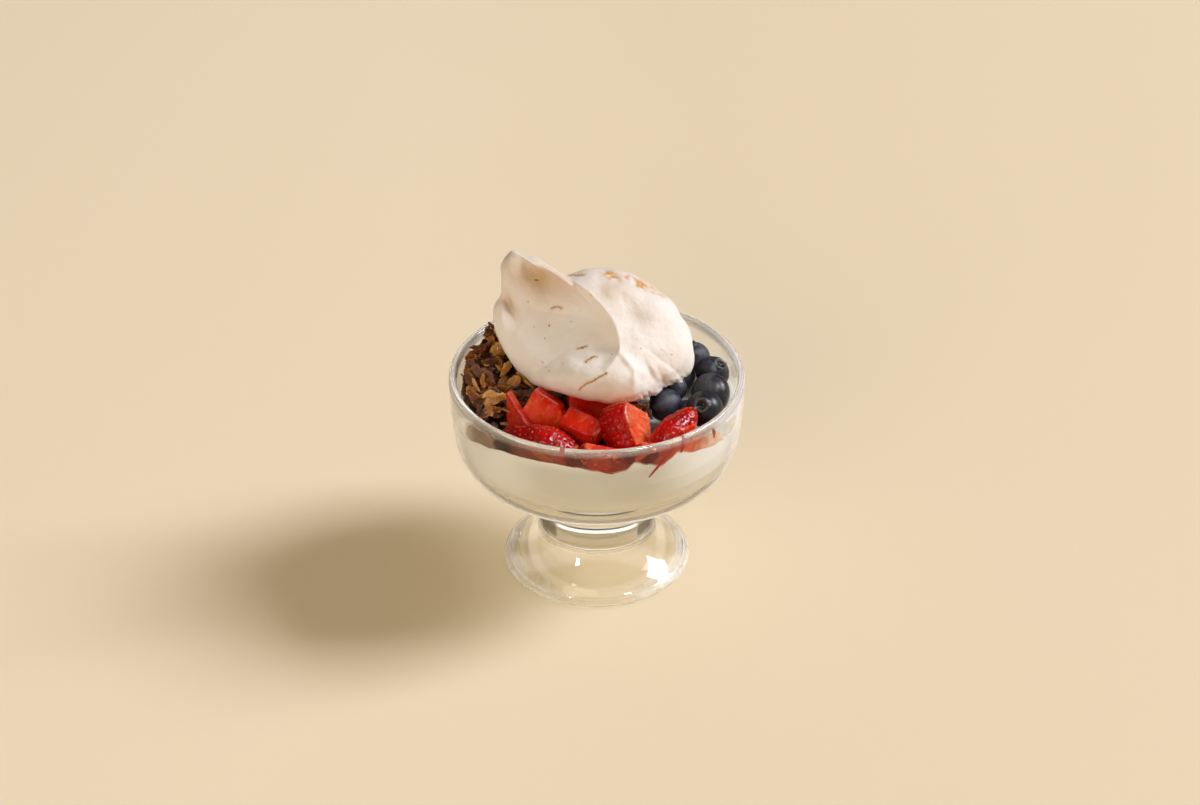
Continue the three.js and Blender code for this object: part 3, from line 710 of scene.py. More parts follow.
def blueberryFinish():
    f = Finish("blueberrySkin")
    place = f.place()
    cloudy = f.noise(95, 4, 0.6, place, 0.6)
    fine = f.noise(700, 3, 0.6, place)
    bloom = f.math("MULTIPLY", f.ramp(cloudy, (0.38, 0.04), (0.66, 0.95), smooth=True),
                   f.ramp(fine, (0.3, 0.5), (0.6, 1.0)))
    bloom = f.math("MULTIPLY", bloom, f.attribute("wax"))
    tone = f.attribute("tone")
    dark = f.ramp(tone, (0.0, linear(13, 14, 21)), (1.0, linear(22, 17, 22)))
    waxy = f.ramp(tone, (0.0, linear(76, 83, 102)), (1.0, linear(92, 90, 98)))
    color = f.blend(bloom, dark, waxy)
    color = f.blend(f.math("MULTIPLY", f.attribute("crown"), 0.7), color, linear(112, 108, 108))
    color = f.blend(f.math("MULTIPLY", f.attribute("navel"), 0.8), color, linear(16, 11, 12))
    normal = f.bump(f.noise(480, 4, 0.6, place), 0.25, 0.0004)
    f.feed(f.surface, Base_Color=color, Roughness=f.ramp(bloom, (0.0, 0.27), (0.8, 0.6)), Normal=normal,
           Specular_IOR_Level=0.4)
    return f.material


blueberrySkin = blueberryFinish()
for number, values in enumerate(blueberrySet["berries"], 1):
    handIn(makeBlueberry(number, *values), blueberrySkin, "blueberry", f"blueberry_{number}")

print("stage: strawberries")
strawberrySet = {
    "segments": 84, "rings": 64, "taper": 0.42, "voxel": 0.34, "rounding": 16, "seedSpacing": 2.0, "seedDepth": 0.36,
    # cuts: the way that each faces and how far from the middle it lies, mm
    "pieces": [
        {"at": (-28.3, -21.8, 75.0), "length": 17, "radius": 7.5, "tip": (-0.2, 0.52, 0.72), "side": (-0.55, -0.75, 0.2),
         "cuts": [((1, 0, 0), 1.7), ((-1, 0, 0), 1.7), ((0, 1, 0.45), 3.2), ((0, -1, 0.25), 2.8)], "paleCut": 0.35},
        {"at": (-19.4, -33.6, 70.4), "length": 29, "radius": 7.6, "tip": (-0.9, 0.36, 0.14), "side": (0.2, 0.5, -0.8),
         "cuts": [((1, 0, 0), 2.4), ((0, 1, 0), 6.6), ((0, 0, -1), 13.0)]},
        {"at": (-18.6, -20.6, 74.3), "length": 22, "radius": 9.6, "tip": (0.8, -0.3, -0.4), "side": (-0.5, -0.62, 0.5),
         "cuts": [((1, 0, 0), 3.6), ((0, 0, -1), 7.0), ((0, 0, 1), 8.0), ((0, 1, 0.2), 5.6), ((0, -1, 0), 6.8)]},
        {"at": (-5.4, -29.4, 74.8), "length": 22, "radius": 7.4, "tip": (0.82, -0.46, -0.2), "side": (0.0, -0.34, 0.94),
         "cuts": [((1, 0, 0), 3.4), ((0, 0, -1), 6.6), ((0, 0, 1), 7.8), ((0, -1, 0), 4.0), ((0, 1, 0), 4.4)],
         "paleCut": 0.55},
        {"at": (10.6, -31.0, 74.0), "length": 25, "radius": 10.4, "tip": (0.1, -0.72, -0.5), "side": (0.86, -0.3, 0.42),
         "cuts": [((1, 0, 0), 5.0), ((0, 0, -1), 7.6), ((0, 0, 1), 9.6), ((0, -1, 0), 8.2)], "underripe": 0.4},
        {"at": (27.0, -31.0, 73.6), "length": 22, "radius": 7.6, "tip": (0.58, 0.5, 0.5), "side": (0.3, 0.5, -0.8),
         "cuts": [((1, 0, 0), 1.4), ((0, 1, 0), 3.8), ((0, -1, 0), 4.6)]},
        {"at": (33.4, -31.4, 70.4), "length": 12, "radius": 5.4, "tip": (0.7, -0.2, -0.6), "side": (-0.2, 0.9, 0.2),
         "cuts": [((1, 0, 0), 1.8), ((0, 1, 0), 3.2)]},
        # painted shade: this piece lies in the meringue's shadow, so its cut is painted mostly in skin red
        {"at": (-2.6, -17.2, 73.8), "length": 19, "radius": 8.4, "tip": (0.95, 0.1, -0.1), "side": (0, -0.6, 0.7),
         "cuts": [((1, 0, 0), 3.2), ((0, 0, -1), 7.5)], "paleCut": 0.2},
        {"at": (3.0, -42.4, 71.2), "length": 20, "radius": 6.6, "tip": (0.96, 0.06, -0.22), "side": (0.1, 0.9, 0.3),
         "cuts": [((1, 0, 0), 1.2), ((0, 1, 0), 4.4)]},
        {"at": (19.0, -40.4, 70.4), "length": 17, "radius": 6.4, "tip": (0.8, 0.4, -0.35), "side": (-0.4, 0.8, 0.3),
         "cuts": [((1, 0, 0), 1.6), ((0, 1, 0), 4.6)]},
    ],
}


def berryRadius(values, angle):
    taper = 1 - strawberrySet["taper"] * smoothstep(cos(angle), -0.4, 1)
    return values["radius"] * taper * max(0, sin(angle)) ** 0.85


def seedSpots(values):
    # places on the whole berry's skin, in rows that step round it like the real ones
    spots, spacing = [], strawberrySet["seedSpacing"]
    rows = max(4, int(values["length"] * 1.25 / spacing))
    uneven = randomFrom(round(values["length"] * 10))
    for row in range(1, rows):
        count = max(1, round(2 * pi * berryRadius(values, pi * row / rows) / (spacing * 1.15)))
        for i in range(count):
            angle = pi * (row + uneven(-0.22, 0.22)) / rows
            around = 2 * pi * (i + 0.5 * (row % 2) + uneven(-0.2, 0.2)) / count
            r = berryRadius(values, angle)
            spots.append(Vector((r * cos(around), r * sin(around), values["length"] / 2 * cos(angle))))
    return spots


def makeStrawberry(number, values):
    s = strawberrySet
    spots = seedSpots(values)

    def pointAt(turn, way):
        angle = way * pi
        around = turn * 2 * pi
        r = berryRadius(values, angle)
        return (r * cos(around), r * sin(around), values["length"] / 2 * cos(angle))

    berry = shapedSphere(f"strawberry{number}", s["segments"], s["rings"], pointAt)
    normals = [vertex.normal.copy() for vertex in berry.data.vertices]
    for vertex, normal in zip(berry.data.vertices, normals):
        vertex.co += normal * (0.4 * noise.noise(vertex.co / mm * 0.2 + Vector((number * 3.7, 0, 0))) * mm)
    # each cut takes a slice off, and its edges are rounded
    pick(berry)
    for direction, keep in values["cuts"]:
        normal = Vector(direction).normalized()
        bpy.ops.object.mode_set(mode='EDIT')
        bpy.ops.mesh.select_all(action='SELECT')
        bpy.ops.mesh.bisect(plane_co=normal * keep * mm, plane_no=normal, use_fill=True, clear_outer=True)
        bpy.ops.object.mode_set(mode='OBJECT')
    useModifier(berry, 'REMESH', mode='VOXEL', voxel_size=s["voxel"] * mm)
    useModifier(berry, 'SMOOTH', factor=0.5, iterations=s["rounding"])
    bpy.ops.object.shade_smooth()
    # a dimple for each seed
    tree = KDTree(len(spots))
    for i, spot in enumerate(spots):
        tree.insert(spot, i)
    tree.balance()
    planes = [(Vector(direction).normalized(), keep) for direction, keep in values["cuts"]]
    cutShare, inBerry = [], []
    normals = [vertex.normal.copy() for vertex in berry.data.vertices]
    for vertex, normal in zip(berry.data.vertices, normals):
        p = vertex.co / mm
        onCut = [1 - smoothstep(keep - p.dot(facing), 0.15, 0.75)
                 for facing, keep in planes if normal.dot(facing) > 0.35]
        cutShare.append(max(onCut + [0]))
        inBerry += [p.x / values["radius"], p.y / values["radius"], p.z / values["length"] * 2]
        wavy = 0.22 * noise.noise(p * 0.35 + Vector((0, number * 2.3, 0))) + 0.1 * noise.noise(p * 1.1)
        dimple = s["seedDepth"] * exp(-(tree.find(p)[2] / 0.7) ** 2)
        vertex.co += normal * (mix(-dimple, wavy, cutShare[-1]) * mm)
    setValues(berry, "cut", [share * values.get("paleCut", 1) for share in cutShare])
    setValues(berry, "underripe", [values.get("underripe", 0.0)] * len(cutShare))
    setValues(berry, "berry", inBerry, 'FLOAT_VECTOR')
    matrix = Matrix.Translation(Vector(values["at"]) * mm) @ axesFrom(values["tip"], values["side"]).to_4x4()
    kept = [spot for spot in spots if all(spot.dot(facing) < keep - 0.5 for facing, keep in planes)]
    move(berry, matrix)
    keepOffWall(berry, -0.3)
    seedList = []
    for spot in kept:
        out = matrix.to_3x3() @ Vector((spot.x, spot.y, spot.z * 0.3)).normalized()
        place = matrix @ (spot * mm)
        if hypot(place.x, place.y) < (insideRadius(place.z / mm) - 1.0) * mm:
            seedList.append((place, out))
    return berry, seedList


def strawberryFinish():
    f = Finish("strawberryFlesh")
    inside = f.attribute("berry", "Vector")
    parts = f.node("SeparateXYZ", Vector=inside)
    flat = f.vector("MULTIPLY", inside, (1, 1, 0))
    across = f.node("VectorMath", {"operation": 'LENGTH'}, i0=flat).outputs["Value"]
    place = f.place()
    blotches = f.noise(150, 4, 0.55, place)
    skin = f.ramp(blotches, (0.3, linear(136, 1, 3)), (0.55, linear(188, 3, 4)), (0.8, linear(220, 16, 8)))
    # cut flesh: orange-red with pale streaks that run out from the heart, whiter towards the stalk
    streakPlace = f.node("Mapping", Vector=inside, Scale=(1.6, 1.6, 6)).outputs["Vector"]
    streaks = f.node("TexNoise", Scale=2.0, Detail=3, Distortion=0.3, Vector=streakPlace).outputs["Fac"]
    flesh = f.ramp(f.math("ADD", across, f.math("MULTIPLY", f.math("SUBTRACT", streaks, 0.5), 0.5)),
                   (0.0, linear(255, 108, 46)), (0.3, linear(248, 66, 20)), (0.65, linear(232, 34, 9)),
                   (0.95, linear(188, 10, 5)))
    paleLines = f.ramp(streaks, (0.54, 0.0), (0.66, 0.5))
    flesh = f.blend(paleLines, flesh, linear(255, 146, 84))
    stalkEnd = f.ramp(f.math("MULTIPLY", parts.outputs["Z"], -1.0), (0.5, 0.0), (1.0, 0.6))
    flesh = f.blend(stalkEnd, flesh, linear(255, 164, 100))
    pale = f.math("MULTIPLY", f.attribute("underripe"), f.ramp(streaks, (0.35, 0.25), (0.6, 1.0)))
    flesh = f.blend(pale, flesh, linear(255, 176, 122))
    color = f.blend(f.attribute("cut"), skin, flesh)
    wet = f.noise(300, 2, 0.5, place)
    normal = f.bump(f.noise(620, 3, 0.6, place), 0.25, 0.0005)
    f.feed(f.surface, Base_Color=color, Roughness=f.ramp(wet, (0.45, 0.34), (0.6, 0.1)), Normal=normal,
           Subsurface_Weight=0.12, Subsurface_Scale=0.0015, Subsurface_Radius=(1.0, 0.12, 0.05),
           Specular_IOR_Level=0.28, Coat_Weight=0.16, Coat_Roughness=0.06)
    return f.material


def seedFinish():
    f = Finish("strawberrySeed")
    color = f.ramp(f.noise(260, 2), (0.35, linear(158, 44, 12)), (0.65, linear(206, 122, 50)))
    f.feed(f.surface, Base_Color=color, Roughness=0.22)
    return f.material


strawberryFlesh = strawberryFinish()
seedPlaces = []
for number, values in enumerate(strawberrySet["pieces"], 1):
    berry, places = makeStrawberry(number, values)
    seedPlaces += places
    handIn(berry, strawberryFlesh, "strawberry", f"strawberry_{number}")

clearSelection()
bpy.ops.mesh.primitive_uv_sphere_add(segments=8, ring_count=6, radius=0.38 * mm)
seedModel = bpy.context.object
seedModel.data.transform(Matrix.Diagonal((0.7, 1.15, 0.5, 1)))
seeds = [placedCopy(seedModel, Matrix.Translation(place - outward * 0.26 * mm) @ facing(outward))
         for place, outward in seedPlaces]
bpy.data.objects.remove(seedModel)
handIn(joined("strawberrySeeds", seeds), seedFinish(), "strawberry")

print("stage: toasted oats")
heapSet = {
    "from": 96, "to": 219, "inner": 22, "outer": 48.4, "foot": 66.2, "top": 74.2, "endRounding": 0.35,
    "highest": 152, "spread": 26, "rise": 3.2, "seed": 29,
    "clusters": 14, "clusterRadius": (2.8, 5.0), "flakes": 18, "flakeLength": (3.0, 4.2), "flakeWidth": (2.0, 3.0),
    "smallFlakes": 96, "slivers": 34,
    # lumps that show over the rim: middle, half sizes, shade
    "lumps": [
        ((-37.2, 23.7, 79.6), (2.7, 2.5, 3.1), 0.18), ((-40.2, 0.5, 76.8), (6.6, 6.4, 4.6), 0.22),
        ((-34.0, 6.5, 76.8), (4.6, 4.2, 3.6), 0.0), ((-38.6, -12.5, 74.6), (5.2, 5.0, 3.4), 0.3),
        ((-28.6, -9.4, 74.4), (4.0, 3.6, 3.4), 0.1),
    ],
    # flakes that show: middle, half length and width, turn in the picture and lean in degrees, shade
    "shown": [
        ((-44.4, 12.2, 78.6), (3.6, 1.7), 38, 25, 0.52), ((-42.0, 13.5, 79.4), (3.4, 1.5), 50, -20, 0.42),
        ((-39.7, 15.9, 79.7), (3.2, 1.4), 42, 15, 0.5), ((-35.5, 12.6, 80.4), (2.8, 2.3), 80, -12, 1.0),
        ((-34.4, 9.9, 80.2), (2.0, 1.4), 30, 20, 0.86), ((-32.3, 0.4, 79.8), (3.5, 1.5), 62, 30, 0.98),
        ((-34.3, 0.9, 79.6), (2.3, 0.7), -40, 0, 1.1), ((-29.1, -6.4, 78.0), (3.2, 2.4), 72, -15, 0.9),
        ((-26.0, -3.5, 79.0), (3.2, 0.9), -45, 20, 1.02), ((-23.2, -7.1, 78.0), (2.8, 1.0), -38, -25, 0.9),
        ((-42.5, -10.5, 80.2), (2.8, 0.6), -62, 0, 1.05), ((-39.9, -9.2, 80.8), (2.6, 0.9), 96, 15, 0.8),
        ((-36.8, -15.4, 77.6), (3.4, 2.9), 10, -10, 1.0), ((-33.6, -15.8, 78.4), (2.6, 1.4), 16, 25, 0.95),
        ((-30.5, -20.3, 75.6), (2.2, 1.0), 95, 10, 0.72), ((-41.6, -2.7, 81.0), (3.2, 2.2), 150, 20, 0.5),
        ((-44.4, -5.6, 79.4), (3.0, 1.9), 118, -25, 0.42), ((-43.0, -14.1, 77.6), (3.0, 1.9), -50, 20, 0.55),
        ((-37.6, 2.2, 81.2), (3.0, 2.1), 20, 30, 0.3), ((-45.0, 3.5, 79.0), (2.8, 1.8), 75, -20, 0.46),
    ],
    "scraps": [((14.4, -20.2, 77.2), (2.4, 1.2), 15, 0.42), ((16.8, -18.6, 75.8), (2.2, 1.1), 60, 0.2),
               ((12.6, -18.8, 78.2), (2.0, 0.9), -20, 0.3), ((18.6, -20.6, 74.2), (1.9, 0.8), 100, 0.1)],
    "endFlakes": 26,
}


def heapPile(angle, r):
    s = heapSet
    near = exp(-((angle - s["highest"]) / s["spread"]) ** 2)
    return s["rise"] * near * smoothstep(r, s["inner"] + 6, s["outer"] - 4)


def heapSpot(angle, r, z):
    return Vector((r * cos(radians(angle)), r * sin(radians(angle)), z))


def makeHeapCore():
    s = heapSet

    def pointAt(turn, way):
        full = max(0, sin(way * pi)) ** s["endRounding"]
        c, q = cos(turn * 2 * pi), sin(turn * 2 * pi)
        square = max(abs(c), abs(q)) ** -0.7
        angle = mix(s["from"], s["to"], way)
        across = (s["outer"] - s["inner"]) / 2 * full
        high = (s["top"] - s["foot"]) / 2 * full
        r = (s["outer"] + s["inner"]) / 2 + across * clamp(c * square, -1, 1)
        z = (s["top"] + s["foot"]) / 2 + high * clamp(q * square, -1, 1)
        return heapSpot(angle, r, z + (heapPile(angle, r) if q > 0 else 0))

    core = shapedSphere("oatHeap", 96, 160, pointAt)
    normals = [vertex.normal.copy() for vertex in core.data.vertices]
    for vertex, normal in zip(core.data.vertices, normals):
        p = vertex.co / mm
        bumps = 1.4 * noise.noise(p * 0.33) + 0.9 * noise.noise(p * 0.8)
        vertex.co += normal * (bumps * mm)
    keepOffWall(core, 0.05)
    # painted shade: the core, which shows in the gaps between the flakes, takes the darkest tone, a little less dark
    # where it lies against the wall
    byWall = [0.5 * smoothstep(hypot(vertex.co.x, vertex.co.y) / mm, 45.5, 48) for vertex in core.data.vertices]
    setValues(core, "tone", byWall)
    setValues(core, "rim", [0.0] * len(byWall))
    setValues(core, "grain", [c / mm * 0.3 for vertex in core.data.vertices for c in vertex.co], 'FLOAT_VECTOR')
    return core


def flakeModel(name, curl, crease):
    # one long, one wide and one high before it is scaled; the grain runs along its length
    def pointAt(turn, way):
        around, angle = turn * 2 * pi, way * pi
        x, y, z = sin(angle) * cos(around), sin(angle) * sin(around), cos(angle)
        uneven = 1 + 0.13 * sin(3 * around + curl * 9) + 0.09 * sin(5 * around + crease * 7)
        uneven += 0.05 * sin(8 * around + curl * 30)
        high = z * 0.34 + curl * x * x + crease * abs(y) + 0.11 * sin(7 * x + 4 * y + curl * 5)
        return (x * uneven, y * uneven, high)
    model = shapedSphere(name, 16, 8, pointAt)
    move(model, Matrix.Scale(1 / mm, 4))
    # the rim value makes the flake's edges lighter in its finish: part golden edge, part painted highlight
    setValues(model, "rim", [smoothstep(hypot(vertex.co.x, vertex.co.y), 0.6, 1.0) for vertex in model.data.vertices])
    setValues(model, "grain", [c for vertex in model.data.vertices for c in vertex.co], 'FLOAT_VECTOR')
    return model


def turned(x, y, z):
    return Matrix.Rotation(x, 4, 'X') @ Matrix.Rotation(y, 4, 'Y') @ Matrix.Rotation(z, 4, 'Z')


def copyOf(model, matrix, tone):
    piece = placedCopy(model, matrix)
    setValues(piece, "tone", [tone] * len(piece.data.vertices))
    return piece


def keptInside(piece):
    # moved inwards where it would reach into the wall
    most = max(hypot(vertex.co.x, vertex.co.y) - (insideRadius(vertex.co.z / mm) - 0.05) * mm
               for vertex in piece.data.vertices)
    if most > 0:
        middle = sum((vertex.co for vertex in piece.data.vertices), Vector()) / len(piece.data.vertices)
        move(piece, Matrix.Translation(Vector((-middle.x, -middle.y, 0)).normalized() * most))


def outFrom(tilt, around):
    return Vector((sin(tilt) * cos(around), sin(tilt) * sin(around), cos(tilt)))


def addFlake(i, spot, look, size, tone):
    scale = Matrix.Diagonal(tuple(value * mm for value in size) + (1,))
    flakes.append(copyOf(flakeModels[i % 4], Matrix.Translation(spot) @ look @ scale, tone))


def makeLump(centre, size, tone, seed):
    # a knobbly lump with flakes baked on to it
    turn = turned(seed, seed * 2, seed * 3) if max(size) < 4.4 else Matrix.Identity(4)
    lump = copyOf(lumpModel, Matrix.Translation(centre) @ turn @ Matrix.Diagonal((*(size * mm), 1)), tone)
    for vertex in lump.data.vertices:
        p = vertex.co / mm
        knobs = 1.5 * noise.noise(p * 0.4) + 1.1 * abs(noise.noise(p * 0.8)) + 0.35 * noise.noise(p * 2.2) - 0.8
        vertex.co += (vertex.co - centre).normalized() * (knobs * mm)
    clusters.append(lump)
    own = randomFrom(round(seed * 91) + 5)
    for k in range(9):
        out = outFrom(own(0.1, 1.35), own(0, 2 * pi))
        spot = centre + Vector([a * b for a, b in zip(out, size)]) * (own(0.85, 1.0) * mm)
        look = facing(out + Vector((own(-0.4, 0.4), own(-0.4, 0.4), own(-0.3, 0.4))))
        look = look @ Matrix.Rotation(own(0, 6.28), 4, 'Z')
        flakeSize = (own(2.0, 3.2), own(1.3, 2.1), own(1.2, 1.8))
        addFlake(k, spot, look, flakeSize, own(0.05, 0.5) if k % 4 else own(0.6, 0.95))


s = heapSet
draw = randomFrom(s["seed"])
span = s["to"] - s["from"]
flakeModels = [flakeModel(f"flakeModel{i}", curl, crease) for i, (curl, crease) in
               enumerate(((0.22, 0.10), (-0.24, 0.2), (0.1, -0.2), (0.34, -0.05)))]
clearSelection()
bpy.ops.mesh.primitive_ico_sphere_add(subdivisions=5, radius=1)
lumpModel = bpy.context.object
setValues(lumpModel, "rim", [0.0] * len(lumpModel.data.vertices))
setValues(lumpModel, "grain", [c * 1.5 for vertex in lumpModel.data.vertices for c in vertex.co], 'FLOAT_VECTOR')
clusters, flakes = [], []
for i, (place, size, tone) in enumerate(s["lumps"]):
    makeLump(Vector(place) * mm, Vector(size), tone, 40.3 + i)
for i in range(s["clusters"]):
    size = draw(*s["clusterRadius"])
    angle = s["from"] + 4 + (span - 8) * (i + draw(0.2, 0.8)) / s["clusters"]
    r = s["inner"] + 3 + (s["outer"] - s["inner"] - 4 - size) * ((i * 0.618) % 1)
    centre = heapSpot(angle, r, s["top"] + heapPile(angle, r) + draw(-0.8, 1.0)) * mm
    makeLump(centre, Vector((size * 1.1, size, size * 0.85)), 0.1 + 0.35 * ((i * 0.37) % 1), i + 0.7)
# flakes that show, turned as in the picture, and upright ones all over the heap
picture = Matrix.Rotation(pi / 2 - meringueSet["tilt"], 4, 'X')
for i, (place, (length, width), turn, lean, tone) in enumerate(s["shown"]):
    look = picture @ Matrix.Rotation(radians(turn), 4, 'Z') @ Matrix.Rotation(radians(lean), 4, 'X')
    addFlake(i, Vector(place) * mm, look, (length, width, 1.9), tone)
for i in range(s["flakes"]):
    angle = s["from"] + 4 + (span - 8) * (i + draw()) / s["flakes"]
    r = s["inner"] + 2 + (s["outer"] - s["inner"] - 6.5) * ((i * 0.382 + 0.15) % 1)
    z = s["top"] + heapPile(angle, r) + draw(0.2, 2.4)
    length, width = draw(*s["flakeLength"]), draw(*s["flakeWidth"])
    turn = turned(draw(0.77, 2.37), draw(0, 6.28), draw(-0.8, 0.8)) @ Matrix.Rotation(pi / 2, 4, 'X')
    addFlake(i, heapSpot(angle, r, z) * mm, turn, (length, width, 1.9), (i * 0.29 + 0.2) % 0.9)
own = randomFrom(77)
for i in range(s["smallFlakes"] + s["slivers"]):
    angle = own(s["from"] + 1, s["to"] - 1)
    r = own(s["inner"] + 1, s["outer"] - 1.5)
    ends = min(angle - s["from"], s["to"] - angle)
    z = s["top"] + heapPile(angle, r) + own(-0.6, 1.6) - 3.5 * (1 - smoothstep(ends, 0, 7))
    if i < s["smallFlakes"]:
        size = (own(1.9, 3.2), own(1.2, 2.1), own(1.2, 1.8))
        tone = own(0, 0.5) if i % 4 else own(0.6, 1.0)
    else:
        size = (own(2.2, 3.4), own(0.5, 0.8), own(1.3, 2.0))       # slivers of nut and of broken flakes
        tone = own(0.45, 1.1)
    look = facing(outFrom(own(0, 1.1), own(0, 2 * pi))) @ Matrix.Rotation(own(0, 6.28), 4, 'Z')
    addFlake(i, heapSpot(angle, r, z) * mm, look, size, tone)
# dark soaked scraps between the fruit, and the far end of the heap, which tapers off in loose flakes
for i, (place, (length, width), turn, tone) in enumerate(s["scraps"]):
    look = picture @ Matrix.Rotation(radians(turn), 4, 'Z') @ Matrix.Rotation(0.5 - i % 3 * 0.5, 4, 'X')
    addFlake(i, Vector(place) * mm, look, (length, width, 1.4), tone)
for i in range(s["endFlakes"]):
    angle, r = own(s["from"] - 2, s["from"] + 12), own(s["inner"] + 2, s["outer"] - 2)
    out = heapSpot(s["from"], 1, 0).cross(Vector((0, 0, 1))) + Vector((0, 0, own(0.3, 1.2)))
    look = facing(out + Vector((own(-0.4, 0.4), own(-0.4, 0.4), 0))) @ Matrix.Rotation(own(0, 6.28), 4, 'Z')
    size = (own(2.2, 3.4), own(1.5, 2.3), own(1.2, 1.8))
    z = own(68.5, 71.5) + 2.5 * smoothstep(angle, s["from"], s["from"] + 10)
    addFlake(i, heapSpot(angle, r, z) * mm, look, size, own(0.1, 0.9))
for piece in clusters + flakes:
    keptInside(piece)
for model in flakeModels + [lumpModel]:
    bpy.data.objects.remove(model)


def oatFinish(name, darkness, gloss):
    f = Finish(name)
    place = f.place()
    patches = f.noise(420, 4, 0.6, place)
    tone = f.attribute("tone")
    # streaks that run along each flake, set apart from piece to piece by its shade
    along = f.node("Mapping", Vector=f.attribute("grain", "Vector"), Scale=(1.0, 5.0, 3.0)).outputs["Vector"]
    streaks = f.node("TexNoise", {"noise_dimensions": '4D'}, Scale=1.6, Detail=4, Roughness=0.6, Vector=along,
                     W=f.math("MULTIPLY", tone, 37.0)).outputs["Fac"]
    share = f.math("ADD", f.math("MULTIPLY", tone, 0.6), f.math("MULTIPLY", patches, 0.3))
    share = f.math("ADD", share, f.math("MULTIPLY", streaks, 0.42))
    # lighter towards the edges of the flakes: part golden edge, part painted highlight
    share = f.math("ADD", share, f.math("MULTIPLY", f.attribute("rim"), 0.13))
    share = f.math("SUBTRACT", share, darkness)
    color = f.ramp(share, (0.12, linear(26, 11, 3)), (0.34, linear(64, 29, 8)), (0.56, linear(118, 62, 16)),
                   (0.78, linear(186, 108, 30)), (1.0, linear(234, 182, 96)))
    normal = f.bump(streaks, 0.5, 0.0007)
    normal = f.bump(f.noise(1000, 5, 0.65, place), 0.7, 0.0006, normal)
    f.feed(f.surface, Base_Color=color, Roughness=f.ramp(patches, (0.5, 0.45), (0.62, 0.14)), Normal=normal,
           Specular_IOR_Level=0.45 * gloss, Coat_Weight=0.2 * gloss, Coat_Roughness=0.1)
    return f.material


# the core gets the most darkness: painted shade in the gaps between the flakes
handIn(makeHeapCore(), oatFinish("oatHeapFinish", 0.16, 0.2), "granola", "granola")
handIn(joined("oatClusters", clusters), oatFinish("oatClusterFinish", 0.13, 0.8), "granola")
handIn(joined("oatFlakes", flakes), oatFinish("oatFlakeFinish", 0.1, 0.8), "granola")

print("stage: cream")
creamSet = {
    "columns": 240, "rings": 100, "bottom": 47.3, "corner": 52.0, "reach": 49.2, "intoWall": 0.06,
    "level": 69.4, "wave": 0.7, "ripple": 0.4, "rightDrop": 2.4,
    "hollow": 2.6, "hollowFrom": 44, "hollowTo": 36, "riseFrom": 20, "riseTo": 8, "topShare": 0.62,
    # height of the line that the cream draws on the wall, by the angle round the bowl
    "line": [(200, 66.8), (208, 67.2), (220, 69.6), (232, 71.8), (246, 72.4), (253, 72.6), (262, 72.0), (270, 70.6),
             (276, 69.4), (281, 70.2), (285, 73.2), (290, 71.4), (296, 69.6), (300, 71.5), (303, 73.4), (312, 70.6),
             (325, 68.4), (338, 66.8), (350, 67.6)],
}


def creamLevel(x, y):
    s, h = creamSet, heapSet
    r, around = hypot(x, y), atan2(y, x)
    angle = degrees(around) % 360
    waves = s["wave"] * sin(around * 3 + 0.6) + s["ripple"] * sin(around * 7)
    wall = s["level"] + waves - s["rightDrop"] * max(0, cos(around)) ** 2
    heap = smoothstep(angle, h["from"] - 8, h["from"] + 4) * (1 - smoothstep(angle, h["to"] - 4, h["to"] + 8))
    hollow = s["hollow"] * (1 - heap) * (1 - smoothstep(r, s["hollowTo"], s["hollowFrom"]))
    level = wall - hollow + (h["foot"] - 0.4 - wall) * heap * smoothstep(r, 14, 20)
    rise = 1 - smoothstep(r, s["riseTo"], s["riseFrom"])
    return level + (meringueSet["rest"] - gap - level) * rise


def wallLine(angle, level):
    # the cream smears up or down the wall at the front
    front = smoothstep(angle, 200, 212) * (1 - smoothstep(angle, 336, 350))
    return mix(level, alongTable(angle, creamSet["line"]), front)


def makeCream():
    s = creamSet
    bottom, corner, reach, intoWall = s["bottom"], s["corner"], s["reach"], s["intoWall"]

    def pointAt(turn, way):
        c, q = cos(turn * 2 * pi), sin(turn * 2 * pi)
        angle = turn * 360
        rimLevel = wallLine(angle, creamLevel(c * reach, q * reach))
        if way <= s["topShare"]:
            r = (way / s["topShare"]) ** 0.8 * reach
            z = mix(creamLevel(c * r, q * r), rimLevel, smoothstep(r, 46.8, 48.9))
            r = min(r, insideRadius(z) + intoWall)
            ripples = 0.6 * noise.noise(Vector((c * r, q * r, 0)) * 0.16) * (1 - smoothstep(r, 42, 47))
            return (c * r, q * r, z + ripples)
        down = (way - s["topShare"]) / (1 - s["topShare"])
        if down <= 0.6:
            z = mix(rimLevel, corner, down / 0.6)
            r = insideRadius(z) + intoWall
            return (c * r, q * r, z)
        r = (insideRadius(corner) + intoWall) * (1 - (down - 0.6) / 0.4)
        floorRows = dishSet["inside"][::-1]
        z = bottom
        for (r0, z0), (r1, z1) in zip(floorRows, floorRows[1:]):
            if r0 <= r <= r1:
                z = mix(z0, z1, (r - r0) / (r1 - r0))
        return (c * r, q * r, min(z, corner) - intoWall)

    piece = shapedSphere("creamFill", s["columns"], s["rings"], pointAt)
    berries = [(Vector(values["at"]), values["radius"]) for values in strawberrySet["pieces"]]
    stainAndShade, byWall = [], []
    for vertex in piece.data.vertices:
        p = vertex.co / mm
        # juice stain near the strawberries, darker than juice alone as painted shade in the gaps between the fruit
        near = sum(exp(-(((p.x - at.x) ** 2 + (p.y - at.y) ** 2) / (radius * 1.1) ** 2)) for at, radius in berries)
        onTop = (1 - smoothstep(hypot(p.x, p.y), 46, 48.4)) * smoothstep(p.z, 60, 63)
        stainAndShade.append(clamp(near * 2.0) * onTop)
        byWall.append(1 - onTop)
    setValues(piece, "wall", byWall)
    setValues(piece, "juice", stainAndShade)
    return piece


